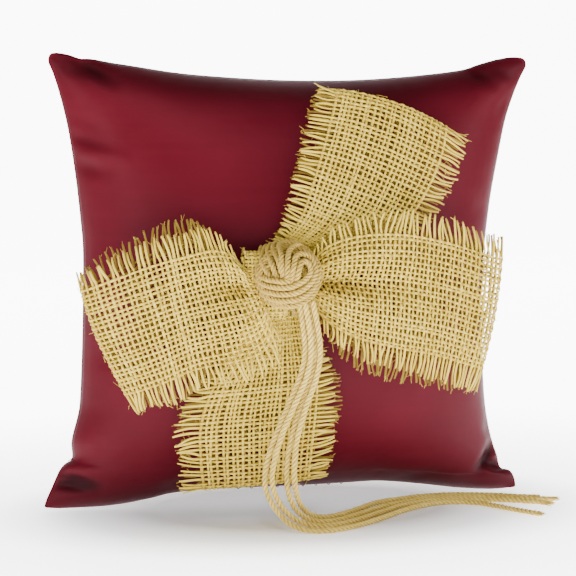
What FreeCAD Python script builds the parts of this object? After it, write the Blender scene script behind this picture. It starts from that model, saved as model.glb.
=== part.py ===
import FreeCAD, Part
import math
import os

# Ring bearer pillow: a square satin cushion that stands on its two lower
# corners, with a burlap ribbon bow sewn to its front and a jute rope knot
# whose four ends hang down as the ring ties.
# Millimetres.  +Z is up, +X runs to the right seen from the front, the front
# of the cushion faces -Y.  The origin is under the middle of the object.

V = FreeCAD.Vector

# ---------------------------------------------------------------- dimensions
SEAM_Y = 14.0          # plane of the side seam, where the two panels meet
CROWN_FRONT = 36.7     # height of the front panel's crown above the seam edge
CROWN_BACK = 39.0      # the back panel is a little fuller
RIM = 0.8              # thickness of one folded seam edge
FULL = 0.62            # how full the crown is (0.5 round, 1 a cone)
INNER = 0.969          # inside of the cover, as a share of its outside
STUFFED = 0.950        # the fibre fill, as a share of the same outside
STITCH_LINE = 0.9595   # the seam stitching runs between the two
FLOOR_WALL = 1.2       # cover thickness where it is pressed flat on its corners
EAR_SWELL = 0.85       # extra fullness of the squashed lower corners

# Outline of the cushion in the seam plane, as (x, z) along each edge.
EDGE_TOP = [(-97.7, 184.5), (-81.0, 181.4), (-66.0, 179.4), (-49.8, 177.3),
            (-37.6, 176.0), (-4.4, 174.3), (25.2, 174.5), (63.9, 177.3),
            (82.0, 180.3), (102.1, 184.4)]
EDGE_BOTTOM = [(-102.2, -7.0), (-90.0, -5.6), (-79.5, -3.0), (-67.0, 0.6),
               (-46.5, 5.0), (4.0, 6.0), (38.8, 6.2), (56.4, 4.2),
               (70.0, 0.3), (84.0, -4.4), (99.0, -7.0)]
EDGE_LEFT = [(-7.0, -102.2), (12.0, -94.5), (28.5, -89.6), (44.8, -87.2),
             (65.1, -86.1), (85.0, -85.5), (105.0, -85.6), (120.0, -86.6),
             (133.7, -88.0), (149.7, -90.2), (167.5, -94.0), (184.5, -97.7)]
EDGE_RIGHT = [(-7.0, 99.0), (13.0, 92.3), (26.0, 88.9), (48.0, 84.8),
              (65.0, 83.1), (82.3, 82.7), (100.0, 83.5), (124.6, 86.3),
              (145.0, 90.0), (158.3, 93.3), (184.4, 102.1)]

BURLAP = 1.2           # thickness of the burlap ribbon
RIBBON = 63.5          # its full width, frayed edges included
BAND_X = (-29.0, -11.5)
BAND_Y = (-36.0, -29.1)
BAND_Z = (80.6, 107.0)
BAND_T = 0.8
THREAD_R = 0.3

KNOT_AT = V(-14.0, -36.0, 98.0)   # middle of the knot's flat back
KNOT_R = 13.6
KNOT_DEEP = 18.0

ROPE_D = 2.2           # one strand of laid jute

# The four hanging ends.  Each leaves the knot at its first point, hangs in
# front of the lower loop, reaches the surface that the cushion stands on
# and lies along it to its frayed end.
TAILS = {
    "cord_tail_1": [(-8.1, -41.2, 87.4), (-7.0, -41.0, 78.9), (-5.7, -40.6, 69.5),
                    (-7.2, -39.8, 60.0), (-11.6, -39.2, 49.5), (-16.8, -39.0, 38.0),
                    (-20.9, -39.6, 27.0), (-22.3, -40.4, 16.5), (-17.7, -42.1, 7.4),
                    (-12.4, -46.0, 2.4), (-6.0, -50.4, 1.1), (2.6, -50.6, 1.1),
                    (13.5, -44.8, 1.1), (25.7, -34.0, 1.1), (38.3, -21.3, 1.1),
                    (51.0, -11.6, 1.1), (62.5, -8.4, 1.1), (72.6, -12.6, 1.1),
                    (78.6, -20.8, 1.1), (84.0, -30.6, 1.1), (90.5, -38.8, 1.1)],
    "cord_tail_2": [(-6.8, -43.4, 87.6), (-5.1, -43.2, 78.9), (-3.9, -42.8, 69.6),
                    (-5.1, -41.9, 60.2), (-9.8, -41.5, 49.6), (-15.0, -41.2, 38.2),
                    (-18.5, -41.4, 27.4), (-19.8, -41.6, 17.6), (-15.2, -41.4, 8.0),
                    (-8.2, -41.2, 2.5), (-1.6, -43.3, 1.1), (7.3, -41.0, 1.1),
                    (18.2, -33.1, 1.1), (29.8, -21.8, 1.1), (41.7, -10.8, 1.1),
                    (55.0, -5.0, 1.1), (66.0, -3.6, 1.1), (77.0, -6.6, 1.1),
                    (87.6, -11.2, 1.1), (95.0, -15.0, 1.1), (101.2, -19.6, 1.1)],
    "cord_tail_3": [(-5.0, -41.2, 88.2), (-3.1, -41.0, 79.2), (-1.8, -40.6, 69.4),
                    (-3.0, -39.8, 59.8), (-7.0, -39.2, 49.6), (-10.6, -39.0, 38.6),
                    (-12.8, -39.0, 27.0), (-13.3, -39.7, 17.0), (-10.4, -38.8, 7.8),
                    (-4.3, -36.3, 2.6), (1.6, -36.5, 1.1), (10.1, -32.8, 1.1),
                    (20.7, -23.5, 1.1), (32.0, -12.3, 1.1), (42.6, -6.4, 1.1),
                    (54.0, -0.8, 1.1), (65.0, 1.4, 1.1), (76.6, -0.4, 1.1),
                    (87.0, -5.2, 1.1), (96.4, -10.4, 1.1), (106.4, -12.4, 1.1)],
    "cord_tail_4": [(-3.9, -43.4, 88.6), (-1.8, -43.1, 79.4), (-0.3, -42.4, 69.8),
                    (-1.2, -41.5, 60.0), (-5.2, -41.3, 49.4), (-8.8, -41.2, 38.4),
                    (-10.5, -41.2, 27.2), (-10.5, -41.2, 17.4), (-7.4, -36.5, 8.2),
                    (-1.1, -29.1, 2.5), (4.8, -28.0, 1.1), (12.8, -23.7, 1.1),
                    (22.2, -14.5, 1.1), (32.3, -3.5, 1.1), (41.4, -0.4, 1.1),
                    (52.6, 4.0, 1.1), (64.0, 5.2, 1.1), (76.0, 3.4, 1.1),
                    (86.6, -0.9, 1.1), (95.4, -5.6, 1.1), (101.8, -7.8, 1.1)],
}

# The ribbons.  Each row is one line across the ribbon, as the ends of its two
# frayed edges (edge A, edge B) and how far its middle stands forward of the
# straight line between them.  A ribbon is one strip that runs from the back
# of the bow's middle out along the back of one loop, round the fold, back
# along its front, across the middle, and round the other loop the same way.
SIDE_ROWS = [
    # back of the left loop, from the middle outwards
    ((-15.0, -30.9, 104.0), (-15.0, -30.9, 83.6), 0.0),
    ((-22.0, -31.0, 104.2), (-21.5, -31.0, 83.4), 0.0),
    ((-31.2, -31.3, 104.4), (-30.6, -31.3, 83.2), 0.0),
    ((-40.5, -33.2, 115.5), (-33.5, -33.2, 68.0), 0.8),
    ((-50.5, -33.0, 120.8), (-40.0, -33.0, 57.0), 1.5),
    ((-62.5, -31.4, 117.6), (-51.5, -31.6, 51.6), 2.0),
    ((-76.0, -28.0, 110.0), (-61.0, -29.4, 46.8), 2.2),
    ((-88.6, -24.0, 102.8), (-67.6, -27.2, 44.8), 2.0),
    # fold
    ((-92.3, -26.8, 101.2), (-69.6, -30.0, 44.4), 2.2),
    # front of the left loop, inwards
    ((-89.2, -30.0, 102.2), (-68.2, -33.0, 44.8), 2.6),
    ((-76.7, -35.0, 107.4), (-59.5, -36.0, 48.0), 3.2),
    ((-60.5, -38.6, 113.4), (-46.5, -38.4, 53.6), 3.0),
    ((-46.5, -38.8, 116.6), (-35.0, -38.4, 59.4), 2.2),
    ((-38.2, -37.0, 114.0), (-31.5, -37.0, 70.5), 1.2),
    ((-31.0, -34.3, 104.4), (-30.4, -34.3, 83.2), 0.0),
    ((-22.0, -34.2, 104.2), (-21.5, -34.2, 83.4), 0.0),
    # across the middle, under the band and the knot
    ((-14.0, -34.2, 104.0), (-13.5, -34.2, 83.6), 0.0),
    ((-9.0, -34.2, 104.0), (-8.8, -34.2, 83.8), 0.0),
    # front of the right loop, outwards
    ((-3.6, -34.6, 105.6), (-3.2, -34.6, 83.0), 0.1),
    ((4.3, -37.0, 116.0), (5.5, -37.0, 71.5), 0.8),
    ((18.0, -38.6, 121.8), (17.0, -38.3, 63.6), 1.6),
    ((35.5, -38.2, 122.8), (31.5, -38.0, 58.8), 2.6),
    ((52.5, -35.0, 119.8), (46.5, -35.6, 55.4), 3.0),
    ((66.0, -31.0, 115.6), (57.0, -32.4, 52.0), 3.0),
    ((75.2, -28.2, 112.4), (64.0, -31.4, 49.8), 2.6),
    # fold
    ((78.4, -25.0, 111.8), (66.2, -28.4, 49.3), 2.2),
    # back of the right loop, inwards
    ((75.0, -22.2, 112.6), (64.0, -25.6, 49.4), 2.0),
    ((62.0, -26.6, 115.6), (55.0, -28.0, 50.6), 2.2),
    ((48.0, -30.2, 118.2), (44.0, -30.2, 52.6), 2.0),
    ((32.0, -32.8, 119.6), (29.5, -32.2, 55.6), 1.5),
    ((16.5, -33.2, 118.0), (16.0, -32.9, 60.0), 0.8),
    ((5.0, -32.4, 113.0), (6.0, -32.3, 70.0), 0.3),
    ((-2.0, -31.4, 105.5), (-1.5, -31.4, 83.4), 0.0),
    ((-8.0, -31.0, 104.2), (-8.0, -31.0, 83.6), 0.0),
    ((-13.8, -30.9, 104.0), (-13.8, -30.9, 83.6), 0.0),
]
UPRIGHT_ROWS = [
    # back of the upper loop, from the middle upwards (edge A left, edge B right)
    ((-22.0, -25.4, 94.0), (-3.0, -25.4, 94.0), 0.0),
    ((-20.5, -25.5, 101.0), (-2.0, -25.5, 99.0), 0.0),
    ((-16.0, -25.6, 111.0), (9.5, -25.6, 102.0), 0.2),
    ((-10.5, -25.0, 122.5), (31.0, -24.8, 106.0), 0.8),
    ((-7.5, -23.2, 135.0), (46.5, -22.0, 115.0), 1.4),
    ((-4.0, -20.0, 149.0), (57.0, -18.6, 128.0), 1.8),
    ((-0.5, -17.0, 161.0), (63.0, -16.4, 140.0), 1.8),
    ((1.2, -15.2, 167.2), (65.4, -15.0, 147.2), 1.8),
    # fold
    ((2.0, -18.0, 169.8), (66.0, -17.6, 149.7), 2.0),
    # front of the upper loop, downwards
    ((1.0, -20.8, 167.4), (65.0, -20.2, 147.0), 2.2),
    ((-1.5, -23.0, 159.5), (62.5, -22.4, 138.5), 2.4),
    ((-5.0, -26.0, 148.0), (56.0, -24.8, 126.5), 2.2),
    ((-8.6, -28.4, 134.5), (45.5, -27.2, 114.0), 1.6),
    ((-11.4, -29.2, 122.0), (30.5, -28.8, 105.0), 1.0),
    ((-16.4, -28.2, 110.6), (9.5, -28.2, 101.5), 0.2),
    ((-20.8, -28.2, 100.6), (-2.2, -28.2, 99.0), 0.0),
    # across the middle
    ((-22.0, -28.1, 94.0), (-3.0, -28.1, 94.0), 0.0),
    ((-23.0, -28.2, 87.5), (-4.0, -28.2, 89.0), 0.0),
    # front of the lower loop, downwards
    ((-30.0, -28.3, 76.5), (-1.0, -28.3, 79.0), 0.2),
    ((-41.0, -29.6, 64.5), (4.5, -29.4, 68.0), 1.2),
    ((-50.0, -30.0, 52.0), (9.5, -29.8, 56.0), 2.0),
    ((-54.5, -28.6, 39.5), (10.3, -28.6, 43.0), 2.6),
    ((-54.0, -26.0, 27.0), (9.8, -26.2, 30.5), 2.8),
    ((-52.0, -22.8, 15.4), (9.0, -23.0, 19.0), 2.6),
    # fold
    ((-51.2, -19.6, 12.6), (8.8, -20.0, 16.0), 2.2),
    # back of the lower loop, upwards
    ((-51.0, -17.4, 15.8), (9.6, -17.8, 18.8), 2.0),
    ((-52.6, -19.6, 27.0), (12.2, -20.0, 30.0), 2.0),
    ((-53.0, -22.6, 39.0), (13.2, -23.0, 42.5), 1.8),
    ((-48.5, -25.0, 52.0), (11.8, -25.4, 56.0), 1.2),
    ((-39.5, -26.0, 64.5), (6.0, -26.2, 68.0), 0.8),
    ((-29.5, -26.0, 76.0), (0.0, -26.1, 79.0), 0.2),
    ((-23.0, -25.5, 87.0), (-3.6, -25.5, 88.5), 0.0),
    ((-22.0, -25.4, 92.8), (-3.0, -25.4, 92.8), 0.0),
]
ACROSS = 5             # points on each line across a ribbon


# ------------------------------------------------------------------- helpers
def along(table, at):
    """Smooth (monotone-cubic style) reading of a table of (key, value)."""
    n = len(table)
    if at <= table[0][0]:
        return table[0][1]
    if at >= table[-1][0]:
        return table[-1][1]
    i = 0
    while i < n - 2 and at > table[i + 1][0]:
        i += 1
    x0, y0 = table[i]
    x1, y1 = table[i + 1]

    def slope(j):
        if j <= 0 or j >= n - 1:
            a, b = (0, 1) if j <= 0 else (n - 2, n - 1)
            return (table[b][1] - table[a][1]) / (table[b][0] - table[a][0])
        return (table[j + 1][1] - table[j - 1][1]) / (table[j + 1][0] - table[j - 1][0])

    h = x1 - x0
    t = (at - x0) / h
    return ((2 * t ** 3 - 3 * t * t + 1) * y0 + (t ** 3 - 2 * t * t + t) * h * slope(i)
            + (-2 * t ** 3 + 3 * t * t) * y1 + (t ** 3 - t * t) * h * slope(i + 1))


def cushion_point(u, v, crown):
    """(x, depth, z) of the cover at u across and v up, both 0 to 1."""
    bl, br = EDGE_BOTTOM[0], EDGE_BOTTOM[-1]
    tl, tr = EDGE_TOP[0], EDGE_TOP[-1]
    xb = bl[0] + u * (br[0] - bl[0])
    xt = tl[0] + u * (tr[0] - tl[0])
    zb, zt = along(EDGE_BOTTOM, xb), along(EDGE_TOP, xt)
    zl = bl[1] + v * (tl[1] - bl[1])
    zr = br[1] + v * (tr[1] - br[1])
    xl, xr = along(EDGE_LEFT, zl), along(EDGE_RIGHT, zr)
    x = ((1 - v) * xb + v * xt + (1 - u) * xl + u * xr
         - ((1 - u) * (1 - v) * bl[0] + u * (1 - v) * br[0]
            + (1 - u) * v * tl[0] + u * v * tr[0]))
    z = ((1 - v) * zb + v * zt + (1 - u) * zl + u * zr
         - ((1 - u) * (1 - v) * bl[1] + u * (1 - v) * br[1]
            + (1 - u) * v * tl[1] + u * v * tr[1]))
    s, t = 2 * u - 1, 2 * v - 1
    full = max(0.0, 1 - s * s) ** FULL * max(0.0, 1 - t * t) ** FULL
    swell = 1 + EAR_SWELL * math.exp(-((abs(s) - 0.80) / 0.20) ** 2
                                     - ((t + 1.0) / 0.16) ** 2)
    return x, RIM + crown * full * swell, z


def closed_solid(faces):
    shell = Part.Shell(faces)
    shell.sewShape()
    solid = Part.Solid(shell)
    if solid.Volume < 0:
        solid.reverse()
    return solid


def cushion_face(side, crown):
    """One domed side of the cushion."""
    n = 22
    grid = []
    for i in range(n + 1):
        u = 0.5 - 0.5 * math.cos(math.pi * i / n)
        row = []
        for j in range(n + 1):
            v = 0.5 - 0.5 * math.cos(math.pi * j / n)
            x, d, z = cushion_point(u, v, CROWN_FRONT)
            row.append(V(x, d, z))
        grid.append(row)
    surface = Part.BSplineSurface()
    surface.interpolate(grid)
    # Both sides share one parametrisation, so that their rims match exactly.
    for i in range(1, surface.NbUPoles + 1):
        for j in range(1, surface.NbVPoles + 1):
            p = surface.getPole(i, j)
            d = RIM + (p.y - RIM) * crown / CROWN_FRONT
            surface.setPole(i, j, V(p.x, SEAM_Y + side * d, p.z))
    return surface.toShape()


def half_cushion(side, crown):
    """Half of the stuffed cushion, from the seam plane to one crown."""
    face = cushion_face(side, crown)
    rim = [e.extrude(V(0, -side * RIM, 0)) for e in face.Edges]
    flat = []
    for e in face.Edges:
        c = e.copy()
        c.translate(V(0, -side * RIM, 0))
        flat.append(c)
    wire = Part.Wire(Part.__sortEdges__(flat))
    cap = Part.Face(wire)
    return closed_solid([face] + rim + [cap])


def whole_cushion():
    """Both domed sides, joined by one strip round the rim."""
    front, back = cushion_face(-1, CROWN_FRONT), cushion_face(1, CROWN_BACK)
    rim = [e.extrude(V(0, 2 * RIM, 0)) for e in front.Edges]
    return closed_solid([front, back] + rim)


def box(x0, y0, z0, x1, y1, z1):
    return Part.makeBox(x1 - x0, y1 - y0, z1 - z0, V(x0, y0, z0))


def ribbon_solid(rows):
    """A strip of burlap through the rows, BURLAP thick."""
    mid = []
    for a, b, out in rows:
        line = []
        for j in range(ACROSS):
            w = j / (ACROSS - 1)
            bow = 1 - (2 * w - 1) ** 2
            line.append(V(a[0] + (b[0] - a[0]) * w,
                          a[1] + (b[1] - a[1]) * w - out * bow,
                          a[2] + (b[2] - a[2]) * w))
        mid.append(line)
    n, m = len(mid), ACROSS
    faces, grids = [], []
    for sign in (1, -1):
        grid = []
        for i in range(n):
            line = []
            for j in range(m):
                du = mid[min(i + 1, n - 1)][j] - mid[max(i - 1, 0)][j]
                dv = mid[i][min(j + 1, m - 1)] - mid[i][max(j - 1, 0)]
                nrm = du.cross(dv)
                nrm.normalize()
                line.append(mid[i][j] + nrm * (sign * BURLAP / 2))
            grid.append(line)
        grids.append(grid)
        surface = Part.BSplineSurface()
        surface.interpolate(grid)
        faces.append(surface.toShape())
    sides = []
    for e in faces[0].Edges:
        mine = min(faces[1].Edges, key=lambda o: min(
            (e.valueAt(e.FirstParameter) - o.valueAt(o.FirstParameter)).Length
            + (e.valueAt(e.LastParameter) - o.valueAt(o.LastParameter)).Length,
            (e.valueAt(e.FirstParameter) - o.valueAt(o.LastParameter)).Length
            + (e.valueAt(e.LastParameter) - o.valueAt(o.FirstParameter)).Length))
        sides.append(Part.makeRuledSurface(e, mine))
    length = sum((mid[i + 1][m // 2] - mid[i][m // 2]).Length for i in range(n - 1))
    return closed_solid(faces + sides), length


def rope(points, diameter):
    """A tube along straight runs joined by tangent arcs."""
    p = [V(*q) for q in points]
    edges, radii, length, here = [], [], 0.0, p[0]
    for i in range(1, len(p) - 1):
        a, b = p[i - 1] - p[i], p[i + 1] - p[i]
        la, lb = a.Length, b.Length
        a.normalize()
        b.normalize()
        turn = math.pi - a.getAngle(b)
        cut = 0.45 * min(la, lb)
        r = cut / math.tan(turn / 2)
        radii.append(r)
        p1, p2 = p[i] + a * cut, p[i] + b * cut
        half = a + b
        half.normalize()
        top = p[i] + half * (r / math.cos(turn / 2) - r)
        edges.append(Part.LineSegment(here, p1).toShape())
        edges.append(Part.Arc(p1, top, p2).toShape())
        length += (p1 - here).Length + r * turn
        here = p2
    edges.append(Part.LineSegment(here, p[-1]).toShape())
    length += (p[-1] - here).Length
    path = Part.Wire(edges)
    start = p[1] - p[0]
    ring = Part.Wire([Part.makeCircle(diameter / 2, p[0], start)])
    tube = path.makePipeShell([ring], True, False)
    if tube.Volume < 0:
        tube.reverse()
    ideal = math.pi * diameter ** 2 / 4 * length
    return tube, length, min(radii), tube.Volume / ideal


def rod(a, b, r):
    a, b = V(*a), V(*b)
    return Part.makeCylinder(r, (b - a).Length, a, b - a)


nodes = {}

# ------------------------------------------------------------------- cushion
front_half = half_cushion(-1, CROWN_FRONT)
back_half = half_cushion(1, CROWN_BACK)
above = box(-200, -200, 0, 200, 200, 300)
above_wall = box(-200, -200, FLOOR_WALL, 200, 200, 300)
heart = V(0, SEAM_Y, 92.0)


def inner_of(half, share=INNER):
    small = half.copy()
    small.scale(share, heart)
    return small.common(above_wall)


front_in, back_in = inner_of(front_half), inner_of(back_half)
front_panel = front_half.common(above).cut(front_in)
back_panel = back_half.common(above).cut(back_in)

# Seam thread: one line of stitching just inside each edge of the cushion.


def seam_path(table, upright, lo, hi, n, rim_in):
    out = []
    for i in range(n + 1):
        k = lo + (hi - lo) * i / n
        w = along(table, k)
        x, z = (w, k) if upright else (k, w)
        out.append((x * rim_in, SEAM_Y, 92.0 + (z - 92.0) * rim_in))
    return out


seam_lines = [seam_path(EDGE_TOP, False, -86.0, 90.0, 9, STITCH_LINE),
              seam_path(EDGE_LEFT, True, 18.0, 174.0, 9, STITCH_LINE),
              seam_path(EDGE_RIGHT, True, 18.0, 174.0, 9, STITCH_LINE),
              seam_path(EDGE_BOTTOM, False, -52.0, 46.0, 6, STITCH_LINE)]
seam = []
for line in seam_lines:
    tube, length, rmin, ratio = rope(line, 2 * THREAD_R)
    seam.append(tube)
    print("seam thread run", round(length, 1), "smallest radius", round(rmin, 1),
          "volume ratio", round(ratio, 4))

# Tack stitches that hold the bow's band to the front panel: two legs through
# the satin and a bar on its inside, twice.
crown_y = SEAM_Y - RIM - CROWN_FRONT
tacks = []
for x in (-24.0, -16.5):
    inside = crown_y + 2.1
    shape = rod((x, BAND_Y[1], 88.0), (x, inside, 88.0), THREAD_R)
    shape = shape.fuse(rod((x, BAND_Y[1], 99.5), (x, inside, 99.5), THREAD_R))
    shape = shape.fuse(rod((x, inside, 87.1), (x, inside, 100.4), THREAD_R * 1.25))
    tacks.append(shape.removeSplitter())

fill = inner_of(whole_cushion(), STUFFED)
for tool in tacks:
    fill = fill.cut(tool)
for tool in tacks:
    front_panel = front_panel.cut(tool)

nodes["front_panel"] = front_panel
nodes["back_panel"] = back_panel
nodes["fibre_fill"] = fill
nodes["seam_thread"] = Part.makeCompound(seam)
nodes["tack_stitches"] = Part.makeCompound(tacks)

# Hand stitches that close the turning gap in the bottom seam: short bars
# across the two seam edges, under the middle of the bottom edge.
closing = []
for i in range(9):
    x = -22.0 + 5.5 * i
    z = along(EDGE_BOTTOM, x) - THREAD_R - 0.02
    closing.append(rod((x, SEAM_Y - 1.3, z), (x, SEAM_Y + 1.3, z), THREAD_R))
nodes["closing_stitches"] = Part.makeCompound(closing)

# ----------------------------------------------------------------------- bow
side, side_len = ribbon_solid(SIDE_ROWS)
upright, upright_len = ribbon_solid(UPRIGHT_ROWS)
for tool in tacks:
    upright = upright.cut(tool)
nodes["side_loops"] = side
nodes["upright_loops"] = upright
print("side ribbon", round(side_len, 1), "long, upright ribbon", round(upright_len, 1))


def rounded_ring(x0, x1, y0, y1, z0, z1, r, t):
    def block(d, rr):
        b = box(x0, y0 + d, z0 + d, x1, y1 - d, z1 - d)
        edges = [e for e in b.Edges
                 if abs(e.Vertexes[0].Point.x - e.Vertexes[-1].Point.x) > 1e-6]
        return b.makeFillet(rr, edges)
    return block(0, r).cut(block(t, r - t))


nodes["centre_band"] = rounded_ring(BAND_X[0], BAND_X[1], BAND_Y[0], BAND_Y[1],
                                    BAND_Z[0], BAND_Z[1], 3.0, BAND_T)

# Two turns of thread round the gathered ribbons, beside the band.
turns = []
for x in (-9.9, -9.1):
    y0, y1, z0, z1, r = -35.5, -29.6, 82.0, 105.7, 2.2
    mid_x = x
    path = Part.Wire([
        Part.LineSegment(V(mid_x, y0 + r, z0), V(mid_x, y1 - r, z0)).toShape(),
        Part.Arc(V(mid_x, y1 - r, z0), V(mid_x, y1 - r * (1 - math.sqrt(0.5)), z0 + r * (1 - math.sqrt(0.5))),
                 V(mid_x, y1, z0 + r)).toShape(),
        Part.LineSegment(V(mid_x, y1, z0 + r), V(mid_x, y1, z1 - r)).toShape(),
        Part.Arc(V(mid_x, y1, z1 - r), V(mid_x, y1 - r * (1 - math.sqrt(0.5)), z1 - r * (1 - math.sqrt(0.5))),
                 V(mid_x, y1 - r, z1)).toShape(),
        Part.LineSegment(V(mid_x, y1 - r, z1), V(mid_x, y0 + r, z1)).toShape(),
        Part.Arc(V(mid_x, y0 + r, z1), V(mid_x, y0 + r * (1 - math.sqrt(0.5)), z1 - r * (1 - math.sqrt(0.5))),
                 V(mid_x, y0, z1 - r)).toShape(),
        Part.LineSegment(V(mid_x, y0, z1 - r), V(mid_x, y0, z0 + r)).toShape(),
        Part.Arc(V(mid_x, y0, z0 + r), V(mid_x, y0 + r * (1 - math.sqrt(0.5)), z0 + r * (1 - math.sqrt(0.5))),
                 V(mid_x, y0 + r, z0)).toShape()])
    ring = Part.Wire([Part.makeCircle(THREAD_R, V(mid_x, y0 + r, z0), V(0, 1, 0))])
    loop = path.makePipeShell([ring], True, False)
    if loop.Volume < 0:
        loop.reverse()
    turns.append(loop)
nodes["gathering_thread"] = Part.makeCompound(turns)

# ---------------------------------------------------------------------- rope
# The knot: a flattened ball, flat where it sits on the band, dimpled where
# its strands meet.  Turned about the Y axis.
profile = [(0.0, 0.0), (KNOT_R * 0.72, 0.0)]
curve = Part.BSplineCurve()
curve.interpolate([V(KNOT_R * 0.72, 0, 0), V(KNOT_R * 0.93, -2.6, 0), V(KNOT_R, -7.2, 0),
                   V(KNOT_R * 0.93, -11.6, 0), V(KNOT_R * 0.70, -15.6, 0),
                   V(KNOT_R * 0.40, -KNOT_DEEP, 0), V(KNOT_R * 0.20, -KNOT_DEEP + 0.8, 0),
                   V(0, -KNOT_DEEP + 2.6, 0)])
face = Part.Face(Part.Wire([Part.LineSegment(V(0, 0, 0), V(KNOT_R * 0.72, 0, 0)).toShape(),
                            curve.toShape(),
                            Part.LineSegment(V(0, -KNOT_DEEP + 2.6, 0), V(0, 0, 0)).toShape()]))
knot = face.revolve(V(0, 0, 0), V(0, 1, 0), 360)
if knot.Volume < 0:
    knot.reverse()
knot.translate(KNOT_AT)
nodes["rope_knot"] = knot

for name, points in TAILS.items():
    tube, length, rmin, ratio = rope(points, ROPE_D)
    print(name, "length", round(length, 1), "smallest radius", round(rmin, 1),
          "volume ratio", round(ratio, 4), "lowest", round(tube.BoundBox.ZMin, 3))
    nodes[name] = tube.cut(knot)

# --------------------------------------------------------------------- write
os.makedirs("parts", exist_ok=True)
for name, shape in nodes.items():
    shape.exportStep("parts/%s.step" % name)
    b = shape.BoundBox
    print("%-18s valid %s solids %d volume %.1f  x %.1f..%.1f y %.1f..%.1f z %.2f..%.2f" % (
        name, shape.isValid(), len(shape.Solids), shape.Volume,
        b.XMin, b.XMax, b.YMin, b.YMax, b.ZMin, b.ZMax))
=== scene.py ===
import math
import random
import bpy
import numpy as np
from mathutils import Vector, Matrix, noise


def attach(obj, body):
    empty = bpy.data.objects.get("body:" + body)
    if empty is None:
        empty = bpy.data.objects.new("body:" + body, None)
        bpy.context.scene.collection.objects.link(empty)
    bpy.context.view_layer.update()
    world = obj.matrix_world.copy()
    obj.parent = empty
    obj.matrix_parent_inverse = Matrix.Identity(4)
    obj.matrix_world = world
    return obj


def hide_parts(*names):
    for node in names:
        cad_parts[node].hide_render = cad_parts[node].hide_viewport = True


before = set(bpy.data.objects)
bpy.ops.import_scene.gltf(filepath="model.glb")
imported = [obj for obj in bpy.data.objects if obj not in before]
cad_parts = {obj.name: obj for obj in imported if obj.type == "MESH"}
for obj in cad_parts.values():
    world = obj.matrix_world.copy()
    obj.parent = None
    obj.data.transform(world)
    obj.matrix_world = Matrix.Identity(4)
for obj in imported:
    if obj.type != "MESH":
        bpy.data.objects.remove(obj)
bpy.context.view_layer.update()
MM = 0.001


# ------------------------------------------------------------------ helpers
def norm(v):
    v = np.asarray(v, float)
    return v / np.maximum(np.linalg.norm(v, axis=-1, keepdims=True), 1e-12)


def polyline_at(points, t):
    """Points at fractions t of the way along a polyline."""
    p = np.asarray(points, float)
    d = np.concatenate([[0], np.cumsum(np.linalg.norm(np.diff(p, axis=0), axis=1))])
    t = np.asarray(t) * d[-1]
    return np.stack([np.interp(t, d, p[:, k]) for k in range(p.shape[1])], 1), d[-1]


def smooth_spline(points, n_between=12):
    """A Catmull-Rom curve through the points."""
    p = np.asarray(points, float)
    p = np.vstack([2 * p[0] - p[1], p, 2 * p[-1] - p[-2]])
    out = []
    for i in range(1, len(p) - 2):
        a, b, c, d = p[i - 1], p[i], p[i + 1], p[i + 2]
        for k in range(n_between):
            t = k / n_between
            out.append(0.5 * (2 * b + (c - a) * t + (2 * a - 5 * b + 4 * c - d) * t * t
                              + (3 * b - a - 3 * c + d) * t ** 3))
    out.append(p[-2])
    return np.array(out)


def mesh_object(name, verts, faces, material, smooth=True):
    me = bpy.data.meshes.new(name)
    me.from_pydata(np.asarray(verts, float).tolist(), [], faces if isinstance(faces, list) else faces.tolist())
    me.update()
    me.validate()
    if smooth:
        me.shade_smooth()
    me.materials.append(material)
    ob = bpy.data.objects.new(name, me)
    bpy.context.scene.collection.objects.link(ob)
    return ob


def point_attribute(ob, name, values):
    a = ob.data.attributes.new(name, "FLOAT", "POINT")
    a.data.foreach_set("value", np.asarray(values, np.float32))


class Nodes:
    """Small helper to build a node material."""

    def __init__(self, name):
        self.mat = bpy.data.materials.new(name)
        self.mat.use_nodes = True
        self.t = self.mat.node_tree
        self.bsdf = self.t.nodes["Principled BSDF"]

    def add(self, kind, **sockets):
        n = self.t.nodes.new(kind)
        for k, v in sockets.items():
            if k in n.inputs:
                n.inputs[k].default_value = v
            else:
                setattr(n, k, v)
        return n

    def link(self, a, b):
        self.t.links.new(a, b)

    def math(self, op, a, b=None, clamp=False):
        n = self.t.nodes.new("ShaderNodeMath")
        n.operation = op
        n.use_clamp = clamp
        for i, v in enumerate((a, b)):
            if v is None:
                continue
            if hasattr(v, "links"):
                self.link(v, n.inputs[i])
            else:
                n.inputs[i].default_value = v
        return n.outputs[0]

    def ramp(self, source, stops):
        n = self.t.nodes.new("ShaderNodeValToRGB")
        e = n.color_ramp.elements
        while len(e) < len(stops):
            e.new(0.5)
        for el, (at, col) in zip(e, stops):
            el.position = at
            el.color = (*col, 1)
        self.link(source, n.inputs[0])
        return n.outputs[0]

    def noise(self, scale, detail=3.0, vector=None, rough=0.5):
        n = self.add("ShaderNodeTexNoise", Scale=scale, Detail=detail, Roughness=rough)
        if vector is None:
            vector = self.coords()
        self.link(vector, n.inputs["Vector"])
        return n.outputs["Fac"]

    def coords(self):
        if not hasattr(self, "_co"):
            self._co = self.t.nodes.new("ShaderNodeTexCoord").outputs["Object"]
        return self._co

    def attr(self, name):
        n = self.t.nodes.new("ShaderNodeAttribute")
        n.attribute_name = name
        return n.outputs["Fac"]

    def bump(self, height, strength, distance, normal=None):
        n = self.add("ShaderNodeBump", Strength=strength, Distance=distance)
        self.link(height, n.inputs["Height"])
        if normal is not None:
            self.link(normal, n.inputs["Normal"])
        return n.outputs["Normal"]


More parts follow.
